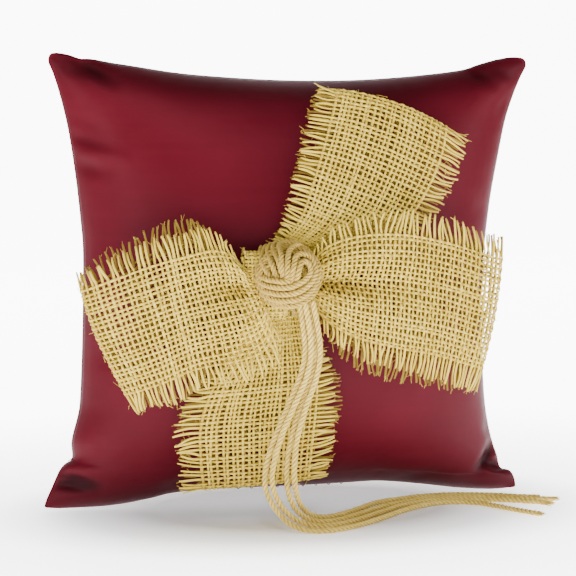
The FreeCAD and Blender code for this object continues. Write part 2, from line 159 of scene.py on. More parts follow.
# ------------------------------------------------------------------- camera
def aim_camera():
    a, e = math.radians(-12.0), math.radians(4.3)
    dist, f = 700.0, 2.42 * 700.0
    target = np.array([-3.15, 14.0, 93.2])
    back = np.array([math.sin(a) * math.cos(e), -math.cos(a) * math.cos(e), math.sin(e)])
    at = target + dist * back
    right = np.array([math.cos(a), math.sin(a), 0.0])
    fwd = -back
    dx, dy = (283.0 - 288.0) / f, -(277.5 - 288.0) / f
    yaw = -math.atan(dx)
    ca, sa = math.cos(-yaw), math.sin(-yaw)
    rot = np.array([[ca, -sa, 0], [sa, ca, 0], [0, 0, 1]])
    fwd, right = rot @ fwd, rot @ right
    p = -math.atan(dy)
    up = np.cross(right, fwd)
    fwd2 = fwd * math.cos(p) + up * math.sin(p)
    up2 = np.cross(right, fwd2)
    data = bpy.data.cameras.new("camera")
    data.sensor_fit = "HORIZONTAL"
    data.sensor_width = 36.0
    data.lens = f / 576.0 * 36.0
    data.clip_start = 0.05
    data.clip_end = 20.0
    ob = bpy.data.objects.new("camera", data)
    bpy.context.scene.collection.objects.link(ob)
    m = Matrix.Identity(4)
    for i in range(3):
        m[i][0], m[i][1], m[i][2], m[i][3] = right[i], up2[i], -fwd2[i], at[i] * MM
    ob.matrix_world = m
    bpy.context.scene.camera = ob


aim_camera()

# ---------------------------------------------------------------- materials
def satin_material(name):
    m = Nodes(name)
    b = m.bsdf
    co = m.coords()
    # faint long floats of the satin weave, running across the cushion
    stretch = m.add("ShaderNodeMapping")
    stretch.inputs["Scale"].default_value = (260.0, 900.0, 5200.0)
    m.link(co, stretch.inputs["Vector"])
    floats = m.noise(1.0, 2.0, stretch.outputs["Vector"])
    slub = m.add("ShaderNodeMapping")
    slub.inputs["Scale"].default_value = (14.0, 60.0, 420.0)
    m.link(co, slub.inputs["Vector"])
    slubs = m.noise(1.0, 3.0, slub.outputs["Vector"])
    cloud = m.noise(22.0, 3.0)
    mix = m.math("ADD", m.math("MULTIPLY", slubs, 0.25), m.math("MULTIPLY", cloud, 0.75))
    col = m.ramp(mix, [(0.25, (0.061, 0.0028, 0.0066)), (0.5, (0.073, 0.0037, 0.0088)),
                       (0.75, (0.087, 0.0050, 0.0116))])
    # painted shade: the colour is darkened by the fold attribute at the bottoms of folds and where the cloth turns in
    # to the seams, where shade falls
    depth = m.ramp(m.attr("fold"), [(0.0, (1.0, 1.0, 1.0)), (1.0, (0.20, 0.20, 0.18))])
    mul = m.add("ShaderNodeVectorMath")
    mul.operation = "MULTIPLY"
    m.link(col, mul.inputs[0])
    m.link(depth, mul.inputs[1])
    m.link(mul.outputs[0], b.inputs["Base Color"])
    rough = m.math("ADD", m.math("MULTIPLY", slubs, 0.10), 0.42)
    m.link(rough, b.inputs["Roughness"])
    b.inputs["Specular IOR Level"].default_value = 0.09
    b.inputs["Specular Tint"].default_value = (1.0, 0.62, 0.70, 1)
    b.inputs["Anisotropic"].default_value = 0.35
    b.inputs["Sheen Weight"].default_value = 0.03
    b.inputs["Sheen Roughness"].default_value = 0.42
    b.inputs["Sheen Tint"].default_value = (0.85, 0.20, 0.34, 1)
    fine = m.bump(floats, 0.14, 0.00012)
    m.link(m.bump(slubs, 0.05, 0.00022, fine), b.inputs["Normal"])
    return m.mat


def floor_material():
    """Plain white sweep that glows as painted light: little near the object so its shadow there stays, more away from
    it, in a lane behind it and low on the sweep.
    """
    m = Nodes("floor_white")
    speck = m.noise(40.0, 2.0)
    col = m.ramp(speck, [(0.0, (0.93, 0.93, 0.93)), (1.0, (0.95, 0.95, 0.95))])
    m.link(col, m.bsdf.inputs["Base Color"])
    m.bsdf.inputs["Roughness"].default_value = 0.6
    m.bsdf.inputs["Specular IOR Level"].default_value = 0.2
    sep = m.t.nodes.new("ShaderNodeSeparateXYZ")
    m.link(m.coords(), sep.inputs[0])
    x, y, z = sep.outputs
    # distance from the object, and distance to the side of a glowing lane behind it
    sq = m.math("ADD", m.math("MULTIPLY", x, x), m.math("MULTIPLY", m.math("MULTIPLY", y, y), 2.2))
    out = m.math("POWER", sq, 0.5)
    glow = m.ramp(m.math("MULTIPLY", out, 1.5), [(0.09, (0.0, 0.0, 0.0)), (0.135, (0.12, 0.12, 0.12)), (0.20, (0.50, 0.50, 0.50)), (0.60, (1.0, 1.0, 1.0))])
    side = m.math("ABSOLUTE", m.math("SUBTRACT", m.math("MULTIPLY", x, 0.978), m.math("MULTIPLY", y, 0.208)))
    lane = m.math("DIVIDE", side, m.math("ADD", m.math("MULTIPLY", m.math("MAXIMUM", y, -0.3), 1.0), 0.95))
    keep = m.ramp(lane, [(0.19, (1.0, 1.0, 1.0)), (0.30, (0.48, 0.48, 0.48)), (0.48, (0.18, 0.18, 0.18)), (0.95, (0.11, 0.11, 0.11))])
    tall = m.ramp(m.math("MULTIPLY", z, 0.5), [(0.22, (1.0, 1.0, 1.0)), (0.34, (0.36, 0.36, 0.36)), (0.55, (0.14, 0.14, 0.14)), (0.95, (0.10, 0.10, 0.10))])
    mul = m.add("ShaderNodeVectorMath")
    mul.operation = "MULTIPLY"
    m.link(glow, mul.inputs[0])
    m.link(keep, mul.inputs[1])
    mul2 = m.add("ShaderNodeVectorMath")
    mul2.operation = "MULTIPLY"
    m.link(mul.outputs[0], mul2.inputs[0])
    m.link(tall, mul2.inputs[1])
    # painted light: the floor's emission stands in for the light on a white table
    m.link(mul2.outputs[0], m.bsdf.inputs["Emission Color"])
    m.bsdf.inputs["Emission Strength"].default_value = 9.0
    return m.mat


def yarn_material(name, dark, mid, light, bump=0.5):
    m = Nodes(name)
    b = m.bsdf
    along, pick = m.attr("along"), m.attr("pick")
    co = m.coords()
    fibre_co = m.add("ShaderNodeCombineXYZ")
    m.link(m.math("MULTIPLY", along, 380.0), fibre_co.inputs["X"])
    m.link(m.math("MULTIPLY", m.attr("round"), 7.0), fibre_co.inputs["Y"])
    m.link(m.math("MULTIPLY", pick, 91.0), fibre_co.inputs["Z"])
    fibres = m.noise(1.0, 3.0, fibre_co.outputs["Vector"])
    patchy = m.noise(160.0, 2.0)
    broad = m.noise(28.0, 2.0)
    v = m.math("ADD", m.math("MULTIPLY", fibres, 0.42), m.math("MULTIPLY", pick, 0.34))
    v = m.math("ADD", v, m.math("MULTIPLY", patchy, 0.22))
    v = m.math("ADD", v, m.math("MULTIPLY", broad, 0.14))
    v = m.math("SUBTRACT", v, 0.06)
    col = m.ramp(v, [(0.18, dark), (0.46, mid), (0.80, light)])
    # painted shade: grooves between plies, under-crossings and the inner layer of a loop are darkened in the colour
    # through the shade attribute
    depth = m.ramp(m.attr("shade"), [(0.0, (0.20, 0.16, 0.11)), (0.5, (0.62, 0.56, 0.46)), (1.0, (1.0, 1.0, 1.0))])
    mul = m.add("ShaderNodeVectorMath")
    mul.operation = "MULTIPLY"
    m.link(col, mul.inputs[0])
    m.link(depth, mul.inputs[1])
    m.link(mul.outputs[0], b.inputs["Base Color"])
    b.inputs["Roughness"].default_value = 0.82
    b.inputs["Specular IOR Level"].default_value = 0.14
    b.inputs["Sheen Weight"].default_value = 0.12
    b.inputs["Sheen Roughness"].default_value = 0.5
    b.inputs["Sheen Tint"].default_value = (1.0, 0.88, 0.50, 1)
    m.link(m.bump(fibres, bump, 0.00022), b.inputs["Normal"])
    return m.mat


SATIN = satin_material("wine_satin")
BURLAP = yarn_material("burlap_yarn", (0.25, 0.150, 0.012), (0.60, 0.425, 0.046), (0.80, 0.62, 0.12))
JUTE = yarn_material("jute_cord", (0.27, 0.165, 0.028), (0.66, 0.470, 0.095), (0.86, 0.67, 0.20), 0.9)


def thread_material(name, colour):
    m = Nodes(name)
    twist = m.noise(2600.0, 2.0)
    lo = tuple(c * 0.72 for c in colour)
    m.link(m.ramp(twist, [(0.3, lo), (0.7, colour)]), m.bsdf.inputs["Base Color"])
    m.bsdf.inputs["Roughness"].default_value = 0.8
    m.bsdf.inputs["Specular IOR Level"].default_value = 0.15
    m.link(m.bump(twist, 0.4, 0.0001), m.bsdf.inputs["Normal"])
    return m.mat


WINE_THREAD = thread_material("wine_thread", (0.12, 0.004, 0.014))
TAN_THREAD = thread_material("tan_thread", (0.46, 0.33, 0.10))
FIBRE = thread_material("polyester_fibre", (0.80, 0.79, 0.76))

# ------------------------------------------------------------------ cushion
SEAM_Y = 14.0
TOP = [(-97.6, 184.2), (-94.5, 184.3), (-91.4, 183.8), (-88.0, 182.9), (-86.3, 181.9), (-81.9, 182.1),
       (-73.9, 180.7), (-66.0, 179.6), (-49.8, 177.2), (-37.6, 176.0), (-20.0, 174.9), (-4.4, 174.3),
       (10.0, 174.2), (25.2, 174.5), (45.0, 175.8), (63.9, 177.8), (74.5, 179.4), (78.2, 180.7),
       (84.0, 182.5), (90.1, 184.0), (96.0, 184.8), (100.6, 184.4)]
BOTTOM = [(-102.3, 1.2), (-97.0, 0.7), (-92.6, 0.6), (-79.6, 0.7), (-72.0, 1.2), (-66.4, 1.9), (-56.5, 3.6), (-51.2, 4.8),
          (-38.0, 5.8), (-15.0, 6.0), (4.0, 6.0), (25.0, 6.3), (38.8, 6.4), (56.4, 4.4), (70.0, 2.4),
          (77.0, 1.6), (88.0, 0.8), (99.2, 1.2)]
LEFT = [(-102.3, 1.2), (-101.2, 4.6), (-99.2, 9.0), (-97.6, 12.6), (-95.8, 16.4), (-93.4, 19.2), (-90.9, 20.3),
        (-90.6, 23.0), (-91.0, 27.0), (-90.3, 31.0), (-88.4, 38.0), (-87.3, 44.8), (-86.3, 65.1), (-85.7, 86.2),
        (-85.5, 105.6), (-86.2, 116.0), (-88.0, 133.7), (-90.2, 149.7), (-92.2, 160.0),
        (-94.6, 169.5), (-97.0, 177.0), (-98.8, 181.2), (-97.6, 184.2)]
RIGHT = [(99.2, 1.2), (98.9, 3.6), (98.0, 6.6), (96.6, 8.6), (94.6, 9.4), (92.3, 9.6), (91.2, 12.2), (90.7, 15.2),
         (88.9, 20.0), (86.8, 27.5), (85.0, 38.0), (84.0, 50.0), (83.1, 65.0), (82.7, 82.3), (83.5, 100.0),
         (86.3, 124.6), (89.6, 143.0), (92.7, 158.3), (96.2, 169.0), (99.6, 177.0), (102.0, 181.6), (100.6, 184.4)]


def edge_points(table, t, squash=None):
    """Points of a seam edge; squash=(share of cloth, share of outline) packs extra cloth into one end."""
    curve = smooth_spline(table, 8)
    if squash:
        c, o = squash
        t = np.where(t < c, t / c * o, o + (t - c) / (1 - c) * (1 - o))
    return polyline_at(curve, t)[0]


def cushion():
    n = 96
    cloth = 204.0
    t = np.linspace(0, 1, n + 1)
    top, bot = edge_points(TOP, t), edge_points(BOTTOM, t)
    lef, rig = edge_points(LEFT, t, (0.20, 0.165)), edge_points(RIGHT, t, (0.18, 0.150))
    u, v = np.meshgrid(t, t, indexing="ij")
    U, V_ = u[..., None], v[..., None]
    flat = ((1 - V_) * bot[:, None] + V_ * top[:, None] + (1 - U) * lef[None] + U * rig[None]
            - ((1 - U) * (1 - V_) * bot[0] + U * (1 - V_) * bot[-1] + (1 - U) * V_ * top[0] + U * V_ * top[-1]))
    s, w = 2 * u - 1, 2 * v - 1
    dome = np.maximum(0, 1 - s * s) ** 0.60 * np.maximum(0, 1 - w * w) ** 0.60
    rim = np.zeros((n + 1, n + 1), bool)
    rim[0], rim[-1], rim[:, 0], rim[:, -1] = True, True, True, True
    front = np.arange((n + 1) ** 2).reshape(n + 1, n + 1)
    back = front.copy()
    back[~rim] = (n + 1) ** 2 + np.arange((~rim).sum())
    rng = np.random.default_rng(4)
    jitter = rng.normal(0, 0.05, dome.shape)
    pf = np.stack([flat[..., 0], -dome * 36 + jitter * (~rim), flat[..., 1]], -1).reshape(-1, 3)
    pb = np.stack([flat[..., 0], dome * 38 + jitter * (~rim), flat[..., 1]], -1)[~rim]
    start = np.vstack([pf, pb])
    rx, rz = (u - 0.5) * cloth, (v - 0.5) * cloth + 92
    bump = 16 * u * (1 - u) * v * (1 - v)
    rf = np.stack([rx, -0.5 * bump, rz], -1).reshape(-1, 3)
    rb = np.stack([rx, 0.5 * bump, rz], -1)[~rim]
    rest = np.vstack([rf, rb])
    a, b, c, d = front[:-1, :-1], front[1:, :-1], front[1:, 1:], front[:-1, 1:]
    ff = np.stack([a, b, c, d], -1).reshape(-1, 4)
    a, b, c, d = back[:-1, :-1], back[1:, :-1], back[1:, 1:], back[:-1, 1:]
    fb = np.stack([a, d, c, b], -1).reshape(-1, 4)
    k = 0.01                       # ten times full size, which the cloth solver likes
    ob = mesh_object("cushion_cloth", start * k, np.vstack([ff, fb]), SATIN)
    ob.shape_key_add(name="start")
    key = ob.shape_key_add(name="cut")
    key.data.foreach_set("co", (rest * k).astype(np.float32).ravel())
    key.value = 0.0
    g = ob.vertex_groups.new(name="seam")
    g.add([int(i) for i in front[rim]], 1.0, "REPLACE")
    mod = ob.modifiers.new("cloth", "CLOTH")
    st = mod.settings
    st.rest_shape_key = key
    st.vertex_group_mass = "seam"
    st.pin_stiffness = 50
    st.quality = 6
    st.mass = 0.3
    st.air_damping = 3.0
    st.tension_stiffness, st.compression_stiffness, st.shear_stiffness, st.bending_stiffness = 60, 60, 20, 1.6
    st.tension_damping, st.compression_damping, st.shear_damping, st.bending_damping = 15, 15, 15, 1.5
    st.use_pressure = True
    st.uniform_pressure_force = 2.2
    st.effector_weights.gravity = 0
    mod.collision_settings.use_collision = False
    last = 34
    mod.point_cache.frame_start, mod.point_cache.frame_end = 1, last
    for f in range(1, last + 1):
        bpy.context.scene.frame_set(f)
    ev = ob.evaluated_get(bpy.context.evaluated_depsgraph_get())
    me = ev.to_mesh()
    co = np.empty(len(me.vertices) * 3)
    me.vertices.foreach_get("co", co)
    ev.to_mesh_clear()
    co = co.reshape(-1, 3) / k
    bpy.context.scene.frame_set(1)
    bpy.data.objects.remove(ob, do_unlink=True)
    print("cushion sim y", co[:, 1].min(), co[:, 1].max())
    return co, front, back, rim, n


# folds of the front: line from (x, z) to (x, z), depth inwards (or outwards if negative), half width
CREASES = [
    (-99.5, 11.6, -82.5, 9.4, 3.4, 1.9), (-95.0, 14.8, -81.0, 11.2, 3.6, 1.7), (-97.0, 13.4, -80.0, 9.8, -1.8, 1.3),
    (-92.0, 19.0, -80.0, 17.0, -1.0, 3.0),
    (80.5, 11.6, 88.4, 21.5, 4.6, 2.2), (83.0, 13.4, 93.5, 10.2, 3.2, 1.8), (86.5, 24.0, 84.0, 30.0, 1.4, 2.0),
    (84.0, 9.5, 95.0, 6.5, -0.9, 2.2),
    (-90.5, 151.5, -78.0, 147.5, 1.5, 2.6), (-88.0, 146.0, -72.0, 142.0, -1.3, 3.2), (-87.5, 140.0, -78.0, 137.0, 1.4, 2.8),
    (-88.0, 158.0, -79.0, 154.0, 0.8, 2.2),
    (-87.0, 181.5, -74.0, 172.5, 2.2, 2.6), (-93.5, 178.5, -84.0, 176.5, 1.0, 2.0),
    (74.5, 179.0, 86.0, 173.5, 1.8, 2.4), (84.0, 179.5, 97.0, 176.0, 1.2, 2.4), (93.0, 170.0, 86.0, 158.0, 0.9, 3.0),
    (-60.0, 7.0, -40.0, 14.0, 0.8, 3.0), (40.0, 9.0, 66.0, 11.5, 1.0, 3.2), (-84.0, 62.0, -70.0, 66.0, 0.7, 4.0),
    (84.0, 118.0, 72.0, 124.0, 0.8, 4.0), (80.0, 62.0, 70.0, 58.0, 0.7, 4.0),
]


def creases(co, front, rim):
    """Press the folds above into the front cloth, and small puckers into it along the top and bottom seams; also return
    painted shade for the fold bottoms and for bands along the top and bottom seams.
    """
    idx = front[~rim]
    p = co[idx]
    room = np.maximum(SEAM_Y - 0.4 - p[:, 1], 0)
    dy = np.zeros(len(p))
    dark = np.zeros(len(p))
    for x0, z0, x1, z1, depth, wide in CREASES:
        a, d = np.array([x0, z0]), np.array([x1 - x0, z1 - z0])
        q = p[:, [0, 2]] - a
        t = np.clip((q @ d) / (d @ d), 0, 1)
        dist = np.linalg.norm(q - t[:, None] * d, axis=1)
        along = 0.35 + 0.65 * np.sin(np.pi * np.clip(t, 0.05, 0.95))
        dy += depth * np.exp(-(dist / wide) ** 2) * along
        # painted shade: the deeper folds get a darker tone along their bottoms
        dark += max(depth - 0.6, 0) * 0.30 * np.exp(-(dist / (wide * 1.1)) ** 2) * along
    for table, sign in ((TOP, 1), (BOTTOM, -1)):
        edge = np.interp(p[:, 0], [v[0] for v in table], [v[1] for v in table])
        gone = np.maximum((edge - p[:, 2]) * sign, 0)
        wave = np.sin(p[:, 0] / 2.9 + 1.7 * np.sin(p[:, 0] / 9.0)) * (0.6 + 0.4 * np.sin(p[:, 0] / 13.0 + 1.0))
        dy += 0.42 * wave * np.exp(-gone / 4.5) * np.clip(gone / 1.2, 0, 1)
        # painted shade: a dark band just under the top seam, and darkening near the bottom seam
        dark += 0.50 * np.exp(-((gone - 5.0) / 6.0) ** 2) if sign > 0 else 0.42 * np.exp(-(gone / 15.0) ** 2)
    p[:, 1] += np.where(dy > 0, np.minimum(dy, room * 0.75), dy)
    co[idx] = p
    # the returned tone is painted shade, carried to the satin as its fold attribute
    tone = np.zeros(len(co))
    tone[idx] = np.clip(dark, 0, 1)
    return tone


def cushion_panels():
    co, front, back, rim, n = cushion()
    lo, hi = co[:, 1].min(), co[:, 1].max()
    y = co[:, 1]
    co[:, 1] = np.where(y < 0, y * (37.3 / -lo), y * (39.8 / hi)) + SEAM_Y
    # cloth pressed flat where the corners stand
    low = co[:, 2]
    co[:, 2] = np.where(low < 0.6, 0.05 + 0.55 * np.exp((np.minimum(low, 0.6) - 0.6) / 1.5), low)
    tone = creases(co, front, rim)
    out = []
    for name, grid, side, node in (("front_panel_cloth", front, -1, "front_panel"), ("back_panel_cloth", back, 1, "back_panel")):
        pts = co[grid]
        verts = pts.reshape(-1, 3) * MM
        idx = np.arange((n + 1) ** 2).reshape(n + 1, n + 1)
        a, b, c, d = idx[:-1, :-1], idx[1:, :-1], idx[1:, 1:], idx[:-1, 1:]
        f = np.stack([a, b, c, d] if side < 0 else [a, d, c, b], -1).reshape(-1, 4)
        ob = mesh_object(name, verts, f, SATIN)
        # painted shade: the fold attribute darkens the satin at folds and along the seams
        point_attribute(ob, "fold", tone[grid].ravel())
        sub = ob.modifiers.new("smooth", "SUBSURF")
        sub.levels = sub.render_levels = 1
        thick = ob.modifiers.new("thick", "SOLIDIFY")
        thick.thickness = 0.0004
        thick.offset = -1
        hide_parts(node)
        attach(ob, "root")
        out.append(ob)
    return out, co, front, back, n


panels, cushion_co, grid_front, grid_back, grid_n = cushion_panels()


def stuffing():
    """The fibre inside, a little smaller than the cover."""
    c = np.array([0.0, SEAM_Y, 90.0])
    step = 3
    gf, gb = cushion_co[grid_front][::step, ::step], cushion_co[grid_back][::step, ::step]
    k = gf.shape[0]
    verts, faces = [], []
    for g, flip in ((gf, False), (gb, True)):
        base = len(verts) * 0 + sum(len(v) for v in verts)
        far = np.maximum(np.abs(g[..., 0]) / 98.0, np.abs(g[..., 2] - 92.0) / 92.0)
        near = np.minimum(np.abs(g[..., 0]) / 98.0, np.abs(g[..., 2] - 92.0) / 92.0)
        tuck = 0.965 - 0.10 * np.clip((near * far - 0.45) / 0.5, 0, 1)
        q = c + (g - c) * np.stack([tuck, 0.955 * np.ones_like(tuck), tuck], -1)
        q[..., 2] = np.maximum(q[..., 2], 1.4)
        verts.append(q.reshape(-1, 3))
        idx = np.arange(k * k).reshape(k, k) + base
        a, b, d, e = idx[:-1, :-1], idx[1:, :-1], idx[1:, 1:], idx[:-1, 1:]
        faces.append(np.stack([a, e, d, b] if flip else [a, b, d, e], -1).reshape(-1, 4))
    ob = mesh_object("fibre_stuffing", np.vstack(verts) * MM, np.vstack(faces), FIBRE)
    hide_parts("fibre_fill")
    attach(ob, "root")


stuffing()

# -------------------------------------------------------------------- yarns
def tubes(paths, normals, wide, thick, sides=6, pick=None, seed=0, along0=0.0, shade=1.0, groove=0.0):
    """Closed yarns through paths (m, k, 3) in mm, flattened along normals, as (verts, faces, attributes)."""
    m, k, _ = paths.shape
    tan = norm(np.gradient(paths, axis=1))
    nrm = normals - (normals * tan).sum(-1, keepdims=True) * tan
    nrm = norm(nrm)
    side = np.cross(tan, nrm)
    ang = np.arange(sides) / sides * 2 * np.pi
    w = np.broadcast_to(wide, (m, k))[..., None, None]
    t = np.broadcast_to(thick, (m, k))[..., None, None]
    ring = (paths[:, :, None] + side[:, :, None] * w * np.cos(ang)[None, None, :, None]
            + nrm[:, :, None] * t * np.sin(ang)[None, None, :, None])
    seg = np.linalg.norm(np.diff(paths, axis=1), axis=2)
    run = np.concatenate([np.zeros((m, 1)), np.cumsum(seg, 1)], 1)
    idx = np.arange(m * k * sides).reshape(m, k, sides)
    a, b = idx[:, :-1], idx[:, 1:]
    quads = np.stack([a, np.roll(a, -1, 2), np.roll(b, -1, 2), b], -1).reshape(-1, 4)
    caps = []
    for j, flip in ((0, True), (k - 1, False)):
        r = idx[:, j]
        r = r[:, ::-1] if flip else r
        caps += r.tolist()
    rng = np.random.default_rng(seed)
    p = rng.random(m) if pick is None else pick
    attrs = {"along": np.broadcast_to(((run + along0) * 0.001)[..., None], (m, k, sides)).ravel(),
             "round": np.broadcast_to((ang / (2 * np.pi))[None, None], (m, k, sides)).ravel(),
             "pick": np.broadcast_to(p[:, None, None], (m, k, sides)).ravel(),
             # painted shade: the shade attribute darkens the colour, and groove darkens each ring's side away from its
             # normal
             "shade": np.clip(np.broadcast_to(shade, (m, k))[..., None]
                              * (1 - groove * (1 - np.sin(ang)))[None, None], 0, 1).ravel()}
    return ring.reshape(-1, 3), quads.tolist() + caps, attrs


def join_tubes(parts):
    verts, faces, attrs, base = [], [], {"along": [], "round": [], "pick": [], "shade": []}, 0
    for v, f, a in parts:
        verts.append(v)
        faces += [[i + base for i in q] for q in f]
        for key in attrs:
            attrs[key].append(a[key])
        base += len(v)
    return np.vstack(verts), faces, {key: np.concatenate(val) for key, val in attrs.items()}


def tube_object(name, parts, material):
    v, f, a = join_tubes(parts)
    ob = mesh_object(name, v * MM, f, material)
    for key, val in a.items():
        point_attribute(ob, key, val)
    return ob


def smooth_noise(rng, m, k, every):
    """Random curves (m, k) that wander slowly, about one turn per every samples."""
    c = max(3, int(k / every) + 3)
    knots = rng.normal(0, 1, (m, c))
    x = np.linspace(0, c - 1.001, k)
    i = x.astype(int)
    f = x - i
    f = f * f * (3 - 2 * f)
    return knots[:, i] * (1 - f) + knots[:, np.minimum(i + 1, c - 1)] * f


class Ribbon:
    """The middle surface of a burlap ribbon: s runs along it from 0 to 1, w across it from edge A to edge B."""

    def __init__(self, rows, pleats=None, step=1.0):
        a = smooth_spline([r[0] for r in rows], 14)
        b = smooth_spline([r[1] for r in rows], 14)
        o = smooth_spline([(r[2], 0, 0) for r in rows], 14)[:, 0]
        mid = 0.5 * (a + b)
        d = np.concatenate([[0], np.cumsum(np.linalg.norm(np.diff(mid, axis=0), axis=1))])
        self.length = d[-1]
        self.n = int(round(self.length / step)) + 1
        s = np.linspace(0, d[-1], self.n)
        pick = lambda q: np.stack([np.interp(s, d, q[:, k]) for k in range(3)], 1)
        self.a, self.b = pick(a), pick(b)
        self.out = np.interp(s, d, o)
        self.pleats = pleats
        self.s = s
        self.ws = np.linspace(-0.06, 1.06, 57)
        A, B = self.a[:, None], self.b[:, None]
        w = self.ws[None, :, None]
        self.grid = A + (B - A) * w
        bow = 1 - (2 * self.ws - 1) ** 2
        self.grid[..., 1] -= self.out[:, None] * bow[None]
        if pleats:
            self.grid = pleats(self, self.grid, self.ws[None, :])
        du = np.gradient(self.grid, axis=0)
        dw = np.gradient(self.grid, axis=1)
        self.normal = norm(np.cross(du, dw))

    def at(self, s_mm, w):
        """Surface points and normals at arrays s (mm along) and w, of one shape."""
        i = np.clip(np.asarray(s_mm) / self.length * (self.n - 1), 0, self.n - 1.001)
        j = np.clip((np.asarray(w) - self.ws[0]) / (self.ws[-1] - self.ws[0]) * (len(self.ws) - 1), 0, len(self.ws) - 1.001)
        i0, j0 = i.astype(int), j.astype(int)
        fi, fj = (i - i0)[..., None], (j - j0)[..., None]

        def read(g):
            return ((g[i0, j0] * (1 - fi) + g[i0 + 1, j0] * fi) * (1 - fj)
                    + (g[i0, j0 + 1] * (1 - fi) + g[i0 + 1, j0 + 1] * fi) * fj)
        return read(self.grid), norm(read(self.normal))


def weave(name, rib, warps=23, fringe=0.138, pitch=1.8, seed=1, ends=(0.0, 0.0), outer=(-1.0, 2.0), radius=0.44):
    """Woven ribbon: warp yarns along it and weft yarns across it, whose free ends are the frayed edges."""
    rng = np.random.default_rng(seed)
    L = rib.length
    picks = int(L / pitch)
    amp = 0.30

    def layer(s_mm):
        """1 on the outer layer of a loop, less on the inner one, as painted shade for the inner layer."""
        q = np.asarray(s_mm) / L
        on = np.clip((q - outer[0]) / 0.02 + 0.5, 0, 1) * np.clip((outer[1] - q) / 0.02 + 0.5, 0, 1)
        return 0.16 + 0.84 * on

    # warp
    k = picks * 2 + 1
    s = np.broadcast_to(np.linspace(ends[0], L - ends[1], k), (warps, k))
    wj = fringe + (np.arange(warps) + 0.5) / warps * (1 - 2 * fringe)
    wander = smooth_noise(rng, warps, k, 16) * 0.0030 + smooth_noise(rng, warps, k, 60) * 0.0030
    w = wj[:, None] + wander
    P, N = rib.at(s, w)
    phase = s / pitch * np.pi + np.arange(warps)[:, None] * np.pi
    P = P + N * (amp * np.sin(phase))[..., None]
    r = radius * (0.97 + 0.10 * smooth_noise(rng, warps, k, 7) + 0.07 * rng.normal(0, 1, (warps, 1)))
    r = np.clip(r, 0.32, 0.66)
    gap = np.linalg.norm(rib.at(s, w + 0.005)[0] - rib.at(s, w - 0.005)[0], axis=-1) / 0.01 * (1 - 2 * fringe) / warps
    r = np.minimum(r, np.maximum(gap * 0.50, 0.26))
    # painted shade: warp lengths passing under a crossing yarn are darker
    over = np.sin(phase) * np.sign(-N[..., 1] + 1e-9)
    warp = tube_object(name + "_warp_yarns", [tubes(P, N, r * 1.08, r * 0.74, 6, seed=seed,
                                                    pick=np.clip(0.48 + 0.15 * rng.normal(0, 1, warps), 0, 1),
                                                    shade=layer(s) * (0.76 + 0.24 * over))], BURLAP)
    # weft
    inner = warps * 2 + 1
    tip = 7
    sw = ends[0] + (np.arange(picks) + 0.5) / picks * (L - ends[0] - ends[1])
    m = len(sw)
    w_in = np.linspace(fringe, 1 - fringe, inner)
    drift = smooth_noise(rng, m, inner, 14) * 0.16 + smooth_noise(rng, 1, m, 9)[0][:, None] * 0.10
    S = sw[:, None] + drift
    W = np.broadcast_to(w_in, (m, inner))
    P, N = rib.at(np.clip(S, 0, L), W)
    phase = (W - fringe) / (1 - 2 * fringe) * warps * np.pi + np.arange(m)[:, None] * np.pi
    P = P - N * (amp * np.sin(phase))[..., None]
    r = radius * (0.97 + 0.10 * smooth_noise(rng, m, inner, 6) + 0.09 * rng.normal(0, 1, (m, 1)))
    r = np.clip(r, 0.30, 0.66)
    # painted shade: weft lengths passing under a crossing yarn are darker
    over = -np.sin(phase) * np.sign(-N[..., 1] + 1e-9)
    mid_shade = 0.76 + 0.24 * over
    parts_p, parts_n, parts_r = [], [], []
    for end, sgn in ((0, -1), (1, 1)):
        base_w = fringe if end == 0 else 1 - fringe
        e = np.linspace(0, 1, tip + 1)[1:]
        length = rng.uniform(0.78, 1.00, (m, 1)) * (1 + 0.07 * smooth_noise(rng, 1, m, 7)[0][:, None])
        length = np.clip(length, 0.55, 1.12)
        Wf = base_w + sgn * fringe * length * e[None]
        lean = smooth_noise(rng, 1, m, 5)[0][:, None] * 0.9 + rng.normal(0, 0.50, (m, 1))
        Sf = S[:, [0 if end == 0 else -1]] + lean * e[None] ** 1.3 + rng.normal(0, 0.30, (m, 1)) * np.sin(e * np.pi)[None]
        Pf, Nf = rib.at(np.clip(Sf, 0, L), Wf)
        lift = (rng.normal(0.1, 0.75, (m, 1)) + smooth_noise(rng, 1, m, 6)[0][:, None] * 0.6) * e[None] ** 1.7
        Pf = Pf + Nf * lift[..., None]
        rf = r[:, [0 if end == 0 else -1]] * (1 - 0.06 * e[None] - 0.22 * e[None] ** 6)
        if end == 0:
            Pf, Nf, rf = Pf[:, ::-1], Nf[:, ::-1], rf[:, ::-1]
        parts_p.append(Pf)
        parts_n.append(Nf)
        parts_r.append(rf)
    P = np.concatenate([parts_p[0], P, parts_p[1]], 1)
    N = np.concatenate([parts_n[0], N, parts_n[1]], 1)
    R = np.concatenate([parts_r[0], r, parts_r[1]], 1)
    P[..., 2] = np.maximum(P[..., 2], 1.0)
    tone = np.clip(0.5 + 0.15 * rng.normal(0, 1, m), 0, 1)
    tip_shade = np.broadcast_to(np.linspace(0.95, 0.86, tip)[None], (m, tip))
    shade = np.concatenate([tip_shade[:, ::-1], mid_shade, tip_shade], 1) * layer(sw)[:, None]
    parts = [tubes(P, N, R * 1.08, R * 0.76, 6, pick=tone, seed=seed + 1, shade=shade)]
    weft = tube_object(name + "_weft_yarns", parts, BURLAP)
